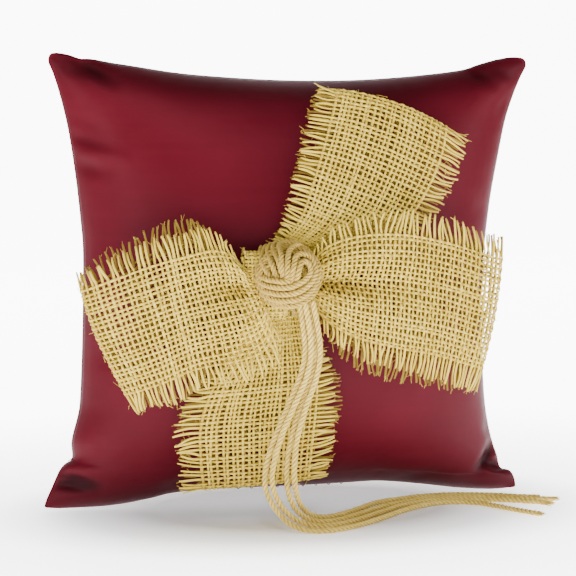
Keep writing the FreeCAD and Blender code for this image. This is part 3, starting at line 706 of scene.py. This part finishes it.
    # split hairs at the fringe tips and along the faces
    hair_p, hair_n = [], []
    kk = 6
    ends_at = [(P[i, -1], P[i, -1] - P[i, -4], N[i, -1]) for i in range(0, m)] + [(P[i, 0], P[i, 0] - P[i, 3], N[i, 0]) for i in range(0, m)]
    for (q, dirn, nn) in ends_at:
        if rng.random() > 0.5:
            continue
        d = dirn / max(np.linalg.norm(dirn), 1e-6)
        for _ in range(2):
            tv = d + rng.normal(0, 0.35, 3)
            e = np.linspace(0, 1, kk)[:, None]
            length = rng.uniform(0.7, 2.0)
            hair_p.append(q - d * 1.2 + tv * e * length + rng.normal(0, 0.35, 3) * e ** 2)
            hair_n.append(np.broadcast_to(nn, (kk, 3)))
    for _ in range(int(L * 1.3)):
        s0, w0 = rng.uniform(0, L), rng.uniform(0.05, 0.95)
        q, nn = rib.at(np.array([s0]), np.array([w0]))
        q, nn = q[0], nn[0] * (1 if rng.random() < 0.5 else -1)
        d = rng.normal(0, 1, 3)
        d = d - (d @ nn) * nn
        e = np.linspace(0, 1, kk)[:, None]
        length = rng.uniform(1.5, 5.0)
        hair_p.append(q + nn * 0.7 + norm(d) * e * length + nn * e * rng.uniform(0.2, 1.6) * (1 - 0.4 * e))
        hair_n.append(np.broadcast_to(nn, (kk, 3)))
    hp = np.array(hair_p)
    hp[..., 2] = np.maximum(hp[..., 2], 0.4)
    hairs = tube_object(name + "_loose_fibres", [tubes(hp, np.array(hair_n), 0.085, 0.085, 3, seed=seed + 2)], BURLAP)
    return warp, weft, hairs


SIDE_ROWS = [
    # back of the left loop, from the middle outwards
    ((-15.0, -30.9, 104.0), (-15.0, -30.9, 83.6), 0.0),
    ((-22.0, -31.0, 104.2), (-21.5, -31.0, 83.4), 0.0),
    ((-31.2, -31.3, 104.4), (-30.6, -31.3, 83.2), 0.0),
    ((-40.5, -33.2, 115.5), (-33.5, -33.2, 68.0), 0.8),
    ((-50.5, -33.0, 120.8), (-40.0, -33.0, 57.0), 1.5),
    ((-62.5, -31.4, 117.6), (-51.5, -31.6, 51.6), 2.0),
    ((-76.0, -28.0, 110.0), (-61.0, -29.4, 46.8), 2.2),
    ((-88.6, -24.0, 102.8), (-67.6, -27.2, 44.8), 2.0),
    # fold
    ((-92.3, -26.8, 101.2), (-69.6, -30.0, 44.4), 2.2),
    # front of the left loop, inwards
    ((-89.2, -30.0, 102.2), (-68.2, -33.0, 44.8), 2.6),
    ((-76.7, -35.0, 107.4), (-59.5, -36.0, 48.0), 3.2),
    ((-60.5, -38.6, 113.4), (-46.5, -38.4, 53.6), 3.0),
    ((-46.5, -38.8, 116.6), (-29.0, -38.8, 56.6), 2.2),
    ((-38.2, -37.4, 114.4), (-18.6, -38.9, 61.5), 1.6),
    ((-31.5, -35.2, 106.0), (-15.6, -37.9, 73.0), 0.8),
    ((-22.0, -34.2, 104.2), (-21.5, -34.2, 83.4), 0.0),
    # across the middle, under the band and the knot
    ((-14.0, -34.2, 104.0), (-13.5, -34.2, 83.6), 0.0),
    ((-9.0, -34.2, 104.0), (-8.8, -34.2, 83.8), 0.0),
    # front of the right loop, outwards
    ((-3.6, -34.6, 105.6), (-3.2, -34.6, 83.0), 0.1),
    ((4.3, -37.0, 116.0), (5.5, -37.0, 71.5), 0.8),
    ((18.0, -38.6, 121.8), (17.0, -38.3, 63.6), 1.6),
    ((35.5, -38.2, 122.8), (31.5, -38.0, 58.8), 2.6),
    ((52.5, -35.0, 119.8), (46.5, -35.6, 55.4), 3.0),
    ((66.0, -31.0, 115.6), (57.0, -32.4, 52.0), 3.0),
    ((75.2, -28.2, 112.4), (64.0, -31.4, 49.8), 2.6),
    # fold
    ((78.4, -25.0, 111.8), (66.2, -28.4, 49.3), 2.2),
    # back of the right loop, inwards
    ((75.0, -22.2, 112.6), (64.0, -25.6, 49.4), 2.0),
    ((62.0, -26.6, 115.6), (55.0, -28.0, 50.6), 2.2),
    ((48.0, -30.2, 118.2), (44.0, -30.2, 52.6), 2.0),
    ((32.0, -32.8, 119.6), (29.5, -32.2, 55.6), 1.5),
    ((16.5, -33.2, 118.0), (16.0, -32.9, 60.0), 0.8),
    ((5.0, -32.4, 113.0), (6.0, -32.3, 70.0), 0.3),
    ((-2.0, -31.4, 105.5), (-1.5, -31.4, 83.4), 0.0),
    ((-8.0, -31.0, 104.2), (-8.0, -31.0, 83.6), 0.0),
    ((-13.8, -30.9, 104.0), (-13.8, -30.9, 83.6), 0.0),
]

UPRIGHT_ROWS = [
    # back of the upper loop, from the middle upwards (edge A left, edge B right)
    ((-22.0, -25.4, 94.0), (-3.0, -25.4, 94.0), 0.0),
    ((-20.5, -25.5, 101.0), (-2.0, -25.5, 99.0), 0.0),
    ((-16.0, -25.6, 111.0), (9.5, -25.6, 102.0), 0.2),
    ((-10.5, -25.0, 122.5), (31.0, -24.8, 106.0), 0.8),
    ((-7.5, -23.2, 135.0), (46.5, -22.0, 115.0), 1.4),
    ((-4.0, -20.0, 149.0), (57.0, -18.6, 128.0), 1.8),
    ((-0.5, -17.0, 161.0), (63.0, -16.4, 140.0), 1.8),
    ((1.2, -15.2, 167.2), (65.4, -15.0, 147.2), 1.8),
    # fold
    ((2.0, -18.0, 169.8), (66.0, -17.6, 149.7), 2.0),
    # front of the upper loop, downwards
    ((1.0, -20.8, 167.4), (65.0, -20.2, 147.0), 2.2),
    ((-1.5, -23.0, 159.5), (62.5, -22.4, 138.5), 2.4),
    ((-5.0, -26.0, 148.0), (56.0, -24.8, 126.5), 2.2),
    ((-8.6, -28.4, 134.5), (45.5, -27.2, 114.0), 1.6),
    ((-11.4, -29.2, 122.0), (30.5, -28.8, 105.0), 1.0),
    ((-16.4, -28.2, 110.6), (9.5, -28.2, 101.5), 0.2),
    ((-20.8, -28.2, 100.6), (-2.2, -28.2, 99.0), 0.0),
    # across the middle
    ((-22.0, -28.1, 94.0), (-3.0, -28.1, 94.0), 0.0),
    ((-23.0, -28.2, 87.5), (-4.0, -28.2, 89.0), 0.0),
    # front of the lower loop, downwards
    ((-30.0, -28.3, 76.5), (-1.0, -28.3, 79.0), 0.2),
    ((-41.0, -29.6, 64.5), (4.5, -29.4, 68.0), 1.2),
    ((-50.0, -30.0, 52.0), (9.5, -29.8, 56.0), 2.0),
    ((-54.5, -28.6, 39.5), (10.3, -28.6, 43.0), 2.6),
    ((-54.0, -26.0, 27.0), (9.8, -26.2, 30.5), 2.8),
    ((-52.0, -22.8, 15.4), (9.0, -23.0, 19.0), 2.6),
    # fold
    ((-51.2, -19.6, 12.6), (8.8, -20.0, 16.0), 2.2),
    # back of the lower loop, upwards
    ((-51.0, -17.4, 15.8), (9.6, -17.8, 18.8), 2.0),
    ((-52.6, -19.6, 27.0), (12.2, -20.0, 30.0), 2.0),
    ((-53.0, -22.6, 39.0), (13.2, -23.0, 42.5), 1.8),
    ((-48.5, -25.0, 52.0), (11.8, -25.4, 56.0), 1.2),
    ((-39.5, -26.0, 64.5), (6.0, -26.2, 68.0), 0.8),
    ((-29.5, -26.0, 76.0), (0.0, -26.1, 79.0), 0.2),
    ((-23.0, -25.5, 87.0), (-3.6, -25.5, 88.5), 0.0),
    ((-22.0, -25.4, 92.8), (-3.0, -25.4, 92.8), 0.0),
]


def side_pleats(rib, g, w):
    """Folds that run outwards from the gather, and slow waves in the loops."""
    x, z = g[..., 0], g[..., 2]
    n = rib.n
    frac = np.linspace(0, 1, n)[:, None]
    front = ((frac > 0.28) & (frac < 0.76)).astype(float)
    face = np.where(front > 0, -1.0, 1.0)          # the outer face looks this way in Y
    right = np.clip((x + 4) / 3, 0, 1)
    left = np.clip((-27 - x) / 3, 0, 1)

    def valley(w0, w1, xa, xb, depth, wide):
        t = np.clip((x - xa) / (xb - xa), 0, 1)
        at = w0 + (w1 - w0) * t
        fall = np.clip(1 - t, 0, 1) ** 1.3
        return depth * fall * np.exp(-((w - at) / (wide * (0.55 + 0.9 * t))) ** 2)

    dy = np.zeros_like(x)
    # right loop, front: one deep fold from the knot, with a soft ridge each side
    r = valley(0.50, 0.40, -6, 58, 8.2, 0.075) - valley(0.30, 0.22, -4, 50, 2.6, 0.10) - valley(0.62, 0.66, -4, 46, 2.4, 0.10)
    r += valley(0.80, 0.86, -4, 30, 2.2, 0.06)
    l = valley(0.40, 0.34, -27, -62, 6.0, 0.075) - valley(0.26, 0.16, -26, -60, 3.6, 0.09) - valley(0.58, 0.62, -26, -62, 3.0, 0.11)
    l += valley(0.78, 0.80, -28, -52, 2.6, 0.07)
    dy += front * (right * r + left * l)
    back = 1 - front
    dy += back * 0.60 * np.maximum(right * r + left * l, 0)
    # small pleats inside the gather itself
    near = np.exp(-((x + 14) / 15) ** 2)
    dy += near * 0.55 * np.sin(w * 2 * np.pi * 4.0)
    # slow waves
    dy += face * 0.55 * np.sin(x / 11.0 + w * 3.0) * np.clip((np.abs(x + 14) - 16) / 20, 0, 1)
    g[..., 1] += dy
    # the folds at the two outer ends bow outwards a little
    bow = np.clip(1 - (2 * w - 1) ** 2, 0, 1)
    g[..., 0] += -3.0 * bow * np.clip((-58 - x) / 24, 0, 1) + 1.6 * bow * np.clip((x - 50) / 22, 0, 1)
    return g


def upright_pleats(rib, g, w):
    x, z = g[..., 0], g[..., 2]
    up = np.clip((z - 104) / 10, 0, 1)
    frac = np.linspace(0, 1, rib.n)[:, None]
    front = ((frac > 0.26) & (frac < 0.745)).astype(float)
    dy = front * (0.9 * np.sin(w * 7.0 + z / 15.0) * np.clip((np.abs(z - 94) - 12) / 25, 0, 1))
    dy += (1 - front) * 0.5 * np.sin(w * 6.0 + z / 17.0) * np.clip((np.abs(z - 94) - 12) / 25, 0, 1)
    g[..., 1] += dy
    bow = np.clip(1 - (2 * w - 1) ** 2, 0, 1)
    g[..., 2] += 5.0 * bow * np.clip((z - 122) / 32, 0, 1)
    return g


side_ribbon = Ribbon(SIDE_ROWS, side_pleats)
upright_ribbon = Ribbon(UPRIGHT_ROWS, upright_pleats)
print("ribbons", side_ribbon.length, upright_ribbon.length)
for nm, rib, node, sd in (("side_loops", side_ribbon, "side_loops", 11), ("upright_loops", upright_ribbon, "upright_loops", 23)):
    line = 0.5 * (rib.a + rib.b)[:, 0 if nm == "side_loops" else 2]
    turns_at = sorted((float(np.argmin(line)) / (rib.n - 1), float(np.argmax(line)) / (rib.n - 1)))
    print(nm, "outer layer", turns_at)
    warp, weft, hairs = weave(nm, rib, seed=sd, outer=(turns_at[0] - 0.008, turns_at[1] + 0.008))
    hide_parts(node)
    for o in (warp, weft, hairs):
        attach(o, "root")

# band round the gather
def ring_rows(x0, x1, y0, y1, z0, z1, r, n=8):
    pts = []
    for cy, cz, a0 in ((y1 - r, z1 - r, 0), (y0 + r, z1 - r, 90), (y0 + r, z0 + r, 180), (y1 - r, z0 + r, 270)):
        for i in range(n + 1):
            a = math.radians(a0 + 90.0 * i / n)
            pts.append((cy + r * math.cos(a), cz + r * math.sin(a)))
    pts.append(pts[0])
    return [((x0, y, z), (x1, y, z), 0.0) for y, z in pts]


band_rib = Ribbon(ring_rows(-28.4, -12.0, -35.9, -29.2, 80.8, 106.8, 3.1), None)
warp, weft, hairs = weave("centre_band", band_rib, warps=10, fringe=0.02, pitch=1.65, seed=31, radius=0.46)
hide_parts("centre_band")
for o in (warp, weft, hairs):
    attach(o, "root")


# -------------------------------------------------------------------- cords
def resample(points, step):
    p = np.asarray(points, float)
    d = np.concatenate([[0], np.cumsum(np.linalg.norm(np.diff(p, axis=0), axis=1))])
    n = max(4, int(round(d[-1] / step)) + 1)
    t = np.linspace(0, d[-1], n)
    return np.stack([np.interp(t, d, p[:, k]) for k in range(3)], 1)


def frames_along(p):
    """Twist-free normals along a path."""
    t = norm(np.gradient(p, axis=0))
    n = np.zeros_like(p)
    ref = np.array([0, 0, 1.0]) if abs(t[0][2]) < 0.8 else np.array([0, 1.0, 0])
    n[0] = norm(ref - (ref @ t[0]) * t[0])
    for i in range(1, len(p)):
        v = n[i - 1] - (n[i - 1] @ t[i]) * t[i]
        n[i] = v / np.linalg.norm(v)
    return t, n, np.cross(t, n)


def plies(points, radius, rng, count=3, pitch=6.0, step=0.55, sides=7, tone=None, phase=0.0, low=None, shade=0.98, groove=0.42):
    """A laid cord along points: count plies twisted round one another."""
    p = resample(points, step)
    t, n, b = frames_along(p)
    run = np.arange(len(p)) * step
    out = []
    rp = radius * (0.45 if count == 3 else 0.50)
    rh = radius * (0.56 if count == 3 else 0.50)
    paths, norms, rr = [], [], []
    wob = smooth_noise(rng, count, len(p), 9) * 0.035 * radius
    for c in range(count):
        a = phase + 2 * np.pi * (run / pitch + c / count)
        off = n * np.cos(a)[:, None] + b * np.sin(a)[:, None]
        paths.append(p + off * (rh + wob[c])[:, None])
        norms.append(off)
        rr.append(rp * (1 + 0.05 * smooth_noise(rng, 1, len(p), 5)[0]))
    paths = np.array(paths)
    if low is not None:
        paths[..., 2] = np.maximum(paths[..., 2], low + np.array(rr) * 1.0)
    tn = np.clip((0.5 if tone is None else tone) + rng.normal(0, 0.10, count), 0, 1)
    # painted shade: groove darkens the side of each ply that faces the others, and shade darkens the cord overall
    out.append(tubes(paths, np.array(norms), np.array(rr) * 1.1, np.array(rr), sides, pick=tn, seed=int(rng.integers(1 << 30)),
                     shade=shade, groove=groove))
    return out


def hairs_on(points, radius, rng, per_mm=0.5, reach=1.6):
    p = resample(points, 0.8)
    t, n, b = frames_along(p)
    m = int(len(p) * 0.8 * per_mm)
    paths, norms = [], []
    for _ in range(m):
        i = int(rng.integers(1, len(p) - 1))
        a = rng.uniform(0, 2 * np.pi)
        o = n[i] * math.cos(a) + b[i] * math.sin(a)
        e = np.linspace(0, 1, 5)[:, None]
        d = norm(t[i] * rng.choice([-1, 1]) + o * rng.uniform(0.1, 0.8))
        q = p[i] + o * radius * 0.85 + d * e * rng.uniform(0.8, reach + 1.0) + o * e * rng.uniform(0, 0.5)
        q[:, 2] = np.maximum(q[:, 2], 0.15)
        paths.append(q)
        norms.append(np.broadcast_to(o, q.shape))
    return tubes(np.array(paths), np.array(norms), 0.06, 0.06, 3, seed=int(rng.integers(1 << 30)))


TAILS = {
    "cord_tail_1": [(-8.1, -41.2, 87.4), (-7.0, -41.0, 78.9), (-5.7, -40.6, 69.5),
                    (-7.2, -39.8, 60.0), (-11.6, -39.2, 49.5), (-16.8, -39.0, 38.0),
                    (-20.9, -39.6, 27.0), (-22.3, -40.4, 16.5), (-17.7, -42.1, 7.4),
                    (-12.4, -46.0, 2.4), (-6.0, -50.4, 1.1), (2.6, -50.6, 1.1),
                    (13.5, -44.8, 1.1), (25.7, -34.0, 1.1), (38.3, -21.3, 1.1),
                    (51.0, -11.6, 1.1), (62.5, -8.4, 1.1), (72.6, -12.6, 1.1),
                    (78.6, -20.8, 1.1), (84.0, -30.6, 1.1), (90.5, -38.8, 1.1)],
    "cord_tail_2": [(-6.8, -43.4, 87.6), (-5.1, -43.2, 78.9), (-3.9, -42.8, 69.6),
                    (-5.1, -41.9, 60.2), (-9.8, -41.5, 49.6), (-15.0, -41.2, 38.2),
                    (-18.5, -41.4, 27.4), (-19.8, -41.6, 17.6), (-15.2, -41.4, 8.0),
                    (-8.2, -41.2, 2.5), (-1.6, -43.3, 1.1), (7.3, -41.0, 1.1),
                    (18.2, -33.1, 1.1), (29.8, -21.8, 1.1), (41.7, -10.8, 1.1),
                    (55.0, -5.0, 1.1), (66.0, -3.6, 1.1), (77.0, -6.6, 1.1),
                    (87.6, -11.2, 1.1), (95.0, -15.0, 1.1), (101.2, -19.6, 1.1)],
    "cord_tail_3": [(-5.0, -41.2, 88.2), (-3.1, -41.0, 79.2), (-1.8, -40.6, 69.4),
                    (-3.0, -39.8, 59.8), (-7.0, -39.2, 49.6), (-10.6, -39.0, 38.6),
                    (-12.8, -39.0, 27.0), (-13.3, -39.7, 17.0), (-10.4, -38.8, 7.8),
                    (-4.3, -36.3, 2.6), (1.6, -36.5, 1.1), (10.1, -32.8, 1.1),
                    (20.7, -23.5, 1.1), (32.0, -12.3, 1.1), (42.6, -6.4, 1.1),
                    (54.0, -0.8, 1.1), (65.0, 1.4, 1.1), (76.6, -0.4, 1.1),
                    (87.0, -5.2, 1.1), (96.4, -10.4, 1.1), (106.4, -12.4, 1.1)],
    "cord_tail_4": [(-3.9, -43.4, 88.6), (-1.8, -43.1, 79.4), (-0.3, -42.4, 69.8),
                    (-1.2, -41.5, 60.0), (-5.2, -41.3, 49.4), (-8.8, -41.2, 38.4),
                    (-10.5, -41.2, 27.2), (-10.5, -41.2, 17.4), (-7.4, -36.5, 8.2),
                    (-1.1, -29.1, 2.5), (4.8, -28.0, 1.1), (12.8, -23.7, 1.1),
                    (22.2, -14.5, 1.1), (32.3, -3.5, 1.1), (41.4, -0.4, 1.1),
                    (52.6, 4.0, 1.1), (64.0, 5.2, 1.1), (76.0, 3.4, 1.1),
                    (86.6, -0.9, 1.1), (95.4, -5.6, 1.1), (101.8, -7.8, 1.1)],
}


TAIL_LENGTHS = {}
tail_curves = {}
for name, pts in TAILS.items():
    cu = bpy.data.curves.new(name + "_line", "CURVE")
    cu.dimensions = "3D"
    cu.resolution_u = 24
    sp = cu.splines.new("NURBS")
    sp.points.add(len(pts) - 1)
    for q, w in zip(sp.points, pts):
        q.co = (w[0] * MM, w[1] * MM, w[2] * MM, 1.0)
    sp.order_u = 3
    sp.use_endpoint_u = True
    tmp = bpy.data.objects.new(name + "_line", cu)
    bpy.context.scene.collection.objects.link(tmp)
    bpy.context.view_layer.update()
    me = bpy.data.meshes.new_from_object(tmp.evaluated_get(bpy.context.evaluated_depsgraph_get()))
    co = np.empty(len(me.vertices) * 3)
    me.vertices.foreach_get("co", co)
    tail_curves[name] = co.reshape(-1, 3) / MM
    bpy.data.objects.remove(tmp, do_unlink=True)
    bpy.data.meshes.remove(me)

FANS = {"cord_tail_1": (12, 3.6, 0.30), "cord_tail_2": (18, 4.0, 0.75), "cord_tail_3": (18, 4.0, 0.70), "cord_tail_4": (8, 3.0, 0.14)}
for ci, (name, line) in enumerate(tail_curves.items()):
    rng = np.random.default_rng(100 + ci)
    p = resample(line, 0.5)
    body_end = p[-12:]
    parts = plies(p, 1.12, rng, count=3, pitch=6.0, phase=ci * 0.9, tone=0.55, low=0.0)
    parts.append(hairs_on(p, 1.1, rng))
    ob = tube_object(name + "_cord", parts, JUTE)
    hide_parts(name)
    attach(ob, "root")
    count, reach, spread = FANS[name]
    t = norm(p[-1] - p[-8])
    side = norm(np.cross(t, [0, 0, 1.0]))
    fan_p, fan_n = [], []
    for k in range(count):
        a = (k + 0.5) / count * 2 - 1
        e = np.linspace(0, 1, 9)[:, None]
        start = p[-7] + side * a * 0.7 + np.array([0, 0, rng.uniform(-0.5, 0.7)])
        dirn = norm(t + side * (a * spread + rng.normal(0, 0.10)) + np.array([0, 0, rng.uniform(-0.05, 0.30)]))
        q = start + t * 2.0 * e + dirn * e ** 1.3 * reach * rng.uniform(0.55, 0.95) + side * rng.normal(0, 0.5) * e ** 2
        q[:, 2] = np.maximum(q[:, 2], 0.35)
        q[:, 2] -= (q[:, 2] - 0.35) * 0.35 * e[:, 0]
        fan_p.append(q)
        fan_n.append(np.broadcast_to([0, 0, 1.0], q.shape))
    e = np.linspace(1, 0.55, 9)[None]
    fan = tube_object(name + "_frayed_end", [tubes(np.array(fan_p), np.array(fan_n), 0.34 * e, 0.26 * e, 5, seed=ci)], JUTE)
    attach(fan, "root")


# --------------------------------------------------------------------- knot
KC = np.array([-12.3, 98.0])        # middle, as (x, z)
KREF = np.array([-13.95, 98.0])     # where the strand table's own middle lies
KA, KB = 11.9, 12.2                 # half sizes to the strands' centres


def on_knot(flat, lift=0.0):
    """Points (x, z, height above the crown's surface) laid on the knot's dome."""
    out = []
    for x, z, h in flat:
        r = math.hypot((x - KC[0]) / KA, (z - KC[1]) / KB)
        rr = min(r, 0.995)
        rise = 14.6 * math.sqrt(max(0.0, 1 - rr ** 2.4))
        y = -38.2 - rise * 0.97 - h - lift
        if r > 0.995:
            y = -38.2 + (r - 0.995) * 18
            k = (0.995 + (r - 0.995) * 0.15) / r
            x, z = KC[0] + (x - KC[0]) * k, KC[1] + (z - KC[1]) * k
        out.append((x, y, z))
    return out


def crop(cx, cz, h=0.0):
    return (KREF[0] + (cx - 760.0) / 18.0, KREF[1] - (cz - 598.0) / 18.0, h)


KNOT = [
    # short strands of the upper left, coming over from behind
    [(575, 330, 0.0), (566, 420, 0.2), (562, 500, 0.2), (575, 560, -0.6), (600, 600, -1.6)],
    [(620, 330, 0.0), (602, 420, 0.5), (600, 500, 0.4), (615, 560, -0.6), (640, 610, -1.6)],
    [(668, 320, 0.0), (643, 410, 0.7), (640, 490, 0.6), (655, 555, -0.5), (680, 610, -1.6)],
    [(715, 315, 0.0), (685, 400, 0.8), (681, 480, 0.7), (695, 550, -0.4), (715, 610, -1.6)],
    # strands that sweep from the left, under the hole, round it and down its left side
    [(505, 500, -0.5), (540, 572, 0.6), (600, 606, 0.9), (670, 620, 1.0), (725, 622, 0.6), (775, 625, -1.4)],
    [(495, 540, -0.5), (535, 612, 0.7), (600, 650, 1.1), (680, 664, 1.2), (760, 655, 1.2), (830, 622, 1.2),
     (882, 578, 1.2), (893, 528, 1.2), (868, 492, 1.2), (832, 492, 1.2), (812, 530, 1.2), (800, 580, 0.9), (790, 625, -0.6), (785, 660, -1.8)],
    [(500, 600, -0.5), (545, 662, 0.5), (615, 696, 1.0), (700, 710, 1.2), (785, 700, 1.2), (862, 662, 1.1),
     (920, 600, 1.0), (934, 530, 1.0), (905, 465, 1.1), (850, 440, 1.2), (800, 452, 1.3), (776, 500, 1.3), (765, 560, 1.1), (757, 620, -0.4), (755, 660, -1.8)],
    [(515, 660, -0.5), (565, 715, 0.2), (640, 745, 0.7), (725, 757, 0.9), (815, 745, 0.9), (895, 700, 0.7),
     (955, 620, 0.3), (972, 530, 0.2), (945, 445, 0.3), (885, 396, 0.5), (815, 390, 0.9), (762, 420, 1.2), (738, 480, 1.3), (732, 550, 1.1), (728, 610, -0.2), (725, 655, -1.8)],
    [(560, 745, -0.5), (620, 785, 0.0), (700, 803, 0.2), (790, 800, 0.2), (880, 765, 0.0), (960, 700, -0.6), (1010, 620, -1.5)],
    [(905, 330, -0.4), (850, 352, 0.0), (780, 352, 0.3), (728, 385, 0.7), (706, 440, 0.9), (700, 510, 0.8), (703, 570, -0.2), (708, 620, -1.6)],
    [(1000, 560, -1.0), (1000, 470, -0.6), (955, 390, -0.5), (895, 345, -0.4), (830, 318, -0.8), (760, 300, -1.5)],
    [(640, 860, -1.0), (720, 848, -0.5), (800, 845, -0.5), (880, 820, -0.6), (960, 760, -1.2), (1010, 700, -1.8)],
]
rng = np.random.default_rng(77)
knot_parts = []
for ki, strand in enumerate(KNOT):
    path = smooth_spline(on_knot([crop(*q) for q in strand]), 14)
    # the knot's strands are darker overall (shade 0.66), and the groove side of each ply is painted shade
    knot_parts += plies(path, 1.12, rng, count=3, pitch=5.0, phase=ki * 1.3, tone=0.40, step=0.45, shade=0.66, groove=0.50)
    if ki % 2 == 0:
        knot_parts.append(hairs_on(path, 1.05, rng, per_mm=0.35, reach=1.2))
# the hidden turns behind, which close the knot's sides
for zi, (r, y) in enumerate(((11.0, -38.6), (11.4, -40.6), (10.8, -43.0), (9.2, -45.2), (7.0, -47.0), (4.6, -48.2))):
    a = np.linspace(0, 2 * np.pi, 60)
    path = np.stack([KC[0] + r * 1.05 * np.cos(a + zi), np.full_like(a, y), KC[1] + r * 0.98 * np.sin(a + zi)], 1)
    # painted shade: the hidden turns behind the knot are darker (shade 0.55)
    knot_parts += plies(path, 1.15, rng, count=3, pitch=6.2, tone=0.30, step=0.8, sides=6, shade=0.55)
knot = tube_object("rope_knot_strands", knot_parts, JUTE)
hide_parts("rope_knot")
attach(knot, "root")

# ------------------------------------------------------------------ threads
def stitch_object(name, lines, r, material, node):
    parts = []
    for ln in lines:
        p = resample(ln, 0.6)
        t, n, b = frames_along(p)
        parts.append(tubes(p[None], n[None], r, r, 6))
    ob = tube_object(name, parts, material)
    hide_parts(node)
    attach(ob, "root")


def stitches_along(line, stitch, gap, depth):
    """Running stitches: short arcs that dip through the cloth along a line."""
    p = resample(line, 0.5)
    out, i = [], 0
    k, g = max(3, int(stitch / 0.5)), max(1, int(gap / 0.5))
    while i + k < len(p):
        q = p[i:i + k + 1].copy()
        q[:, 1] += depth * np.cos(np.linspace(0, 2 * np.pi, len(q)))
        out.append(q)
        i += k + g
    return out


seam_lines = []
for e in (cushion_co[grid_front[3:-3, 0]], cushion_co[grid_front[3:-3, -1]], cushion_co[grid_front[0, 12:-4]], cushion_co[grid_front[-1, 12:-4]]):
    c = np.array([0.0, SEAM_Y, 90.0])
    q = c + (e - c) * 0.982
    q[:, 2] = np.maximum(q[:, 2], 2.2)
    seam_lines += stitches_along(q, 2.2, 0.6, 0.25)
stitch_object("seam_stitching", seam_lines, 0.16, WINE_THREAD, "seam_thread")
closing = []
bottom_edge = cushion_co[grid_front[:, 0]]
for i in range(9):
    x = -22.0 + 5.5 * i
    z = float(np.interp(x, bottom_edge[:, 0], bottom_edge[:, 2]))
    closing.append([(x - 0.9, SEAM_Y - 1.1, z + 0.35), (x - 0.5, SEAM_Y - 0.6, z - 0.25), (x, SEAM_Y, z - 0.40),
                    (x + 0.5, SEAM_Y + 0.6, z - 0.25), (x + 0.9, SEAM_Y + 1.1, z + 0.35)])
stitch_object("closing_hand_stitches", closing, 0.17, WINE_THREAD, "closing_stitches")
turns = []
for x0, x1 in ((-10.0, -9.5), (-9.3, -8.9)):
    rows = ring_rows(x0, x1, -35.4, -29.7, 82.2, 105.6, 2.2)
    m = len(rows)
    turns.append([(r[0][0] + (r[1][0] - r[0][0]) * i / (m - 1), r[0][1], r[0][2]) for i, r in enumerate(rows)])
stitch_object("gathering_turns", turns, 0.24, TAN_THREAD, "gathering_thread")
tack_lines = []
for x in (-24.0, -16.5):
    tack_lines.append([(x, -29.6, 88.0), (x, -25.0, 87.9), (x, -22.6, 88.0), (x, -21.9, 88.6), (x, -21.8, 94.0), (x, -21.9, 98.9),
                       (x, -22.6, 99.5), (x, -25.0, 99.6), (x, -29.6, 99.5)])
stitch_object("tack_stitching", tack_lines, 0.25, TAN_THREAD, "tack_stitches")

# -------------------------------------------------------------------- stage
def area(name, at, target, size, energy, size_y=None, color=(1, 1, 1)):
    d = bpy.data.lights.new(name, "AREA")
    d.energy = energy
    d.color = color
    d.size = size
    if size_y:
        d.shape = "RECTANGLE"
        d.size_y = size_y
    ob = bpy.data.objects.new(name, d)
    ob.location = at
    ob.rotation_euler = (Vector(target) - Vector(at)).to_track_quat("-Z", "Y").to_euler()
    bpy.context.scene.collection.objects.link(ob)
    return ob


sweep = [(y, 0.0) for y in (-3.0, -1.0, -0.5, -0.2, 0.0, 0.3, 0.7, 1.1)]
sweep += [(1.1 + 0.9 * math.sin(a), 0.9 - 0.9 * math.cos(a)) for a in np.linspace(0.1, math.pi / 2, 14)]
sweep += [(2.0, 2.0), (2.0, 4.5)]
sv = [(x, y, z) for y, z in sweep for x in (-4.0, -1.0, 1.0, 4.0)]
sf = [(4 * i + j, 4 * i + j + 1, 4 * i + j + 5, 4 * i + j + 4) for i in range(len(sweep) - 1) for j in range(3)]
floor = mesh_object("floor", sv, sf, floor_material())
world = bpy.data.worlds.new("studio")
bpy.context.scene.world = world
world.use_nodes = True
bg = world.node_tree.nodes["Background"]
bg.inputs["Color"].default_value = (1.0, 1.0, 1.0, 1)
bg.inputs["Strength"].default_value = 0.09
area("left_box", (-0.82, -0.62, 0.24), (0, 0, 0.09), 0.26, 5.4, 0.36)
area("right_box", (0.80, -0.50, 0.26), (0, 0, 0.09), 0.32, 6.2, 0.4)
area("top_box", (-0.10, -0.75, 0.95), (0, 0, 0.08), 0.30, 4.0)
area("front_fill", (0.15, -1.5, 0.35), (0, 0, 0.09), 0.7, 3.7)
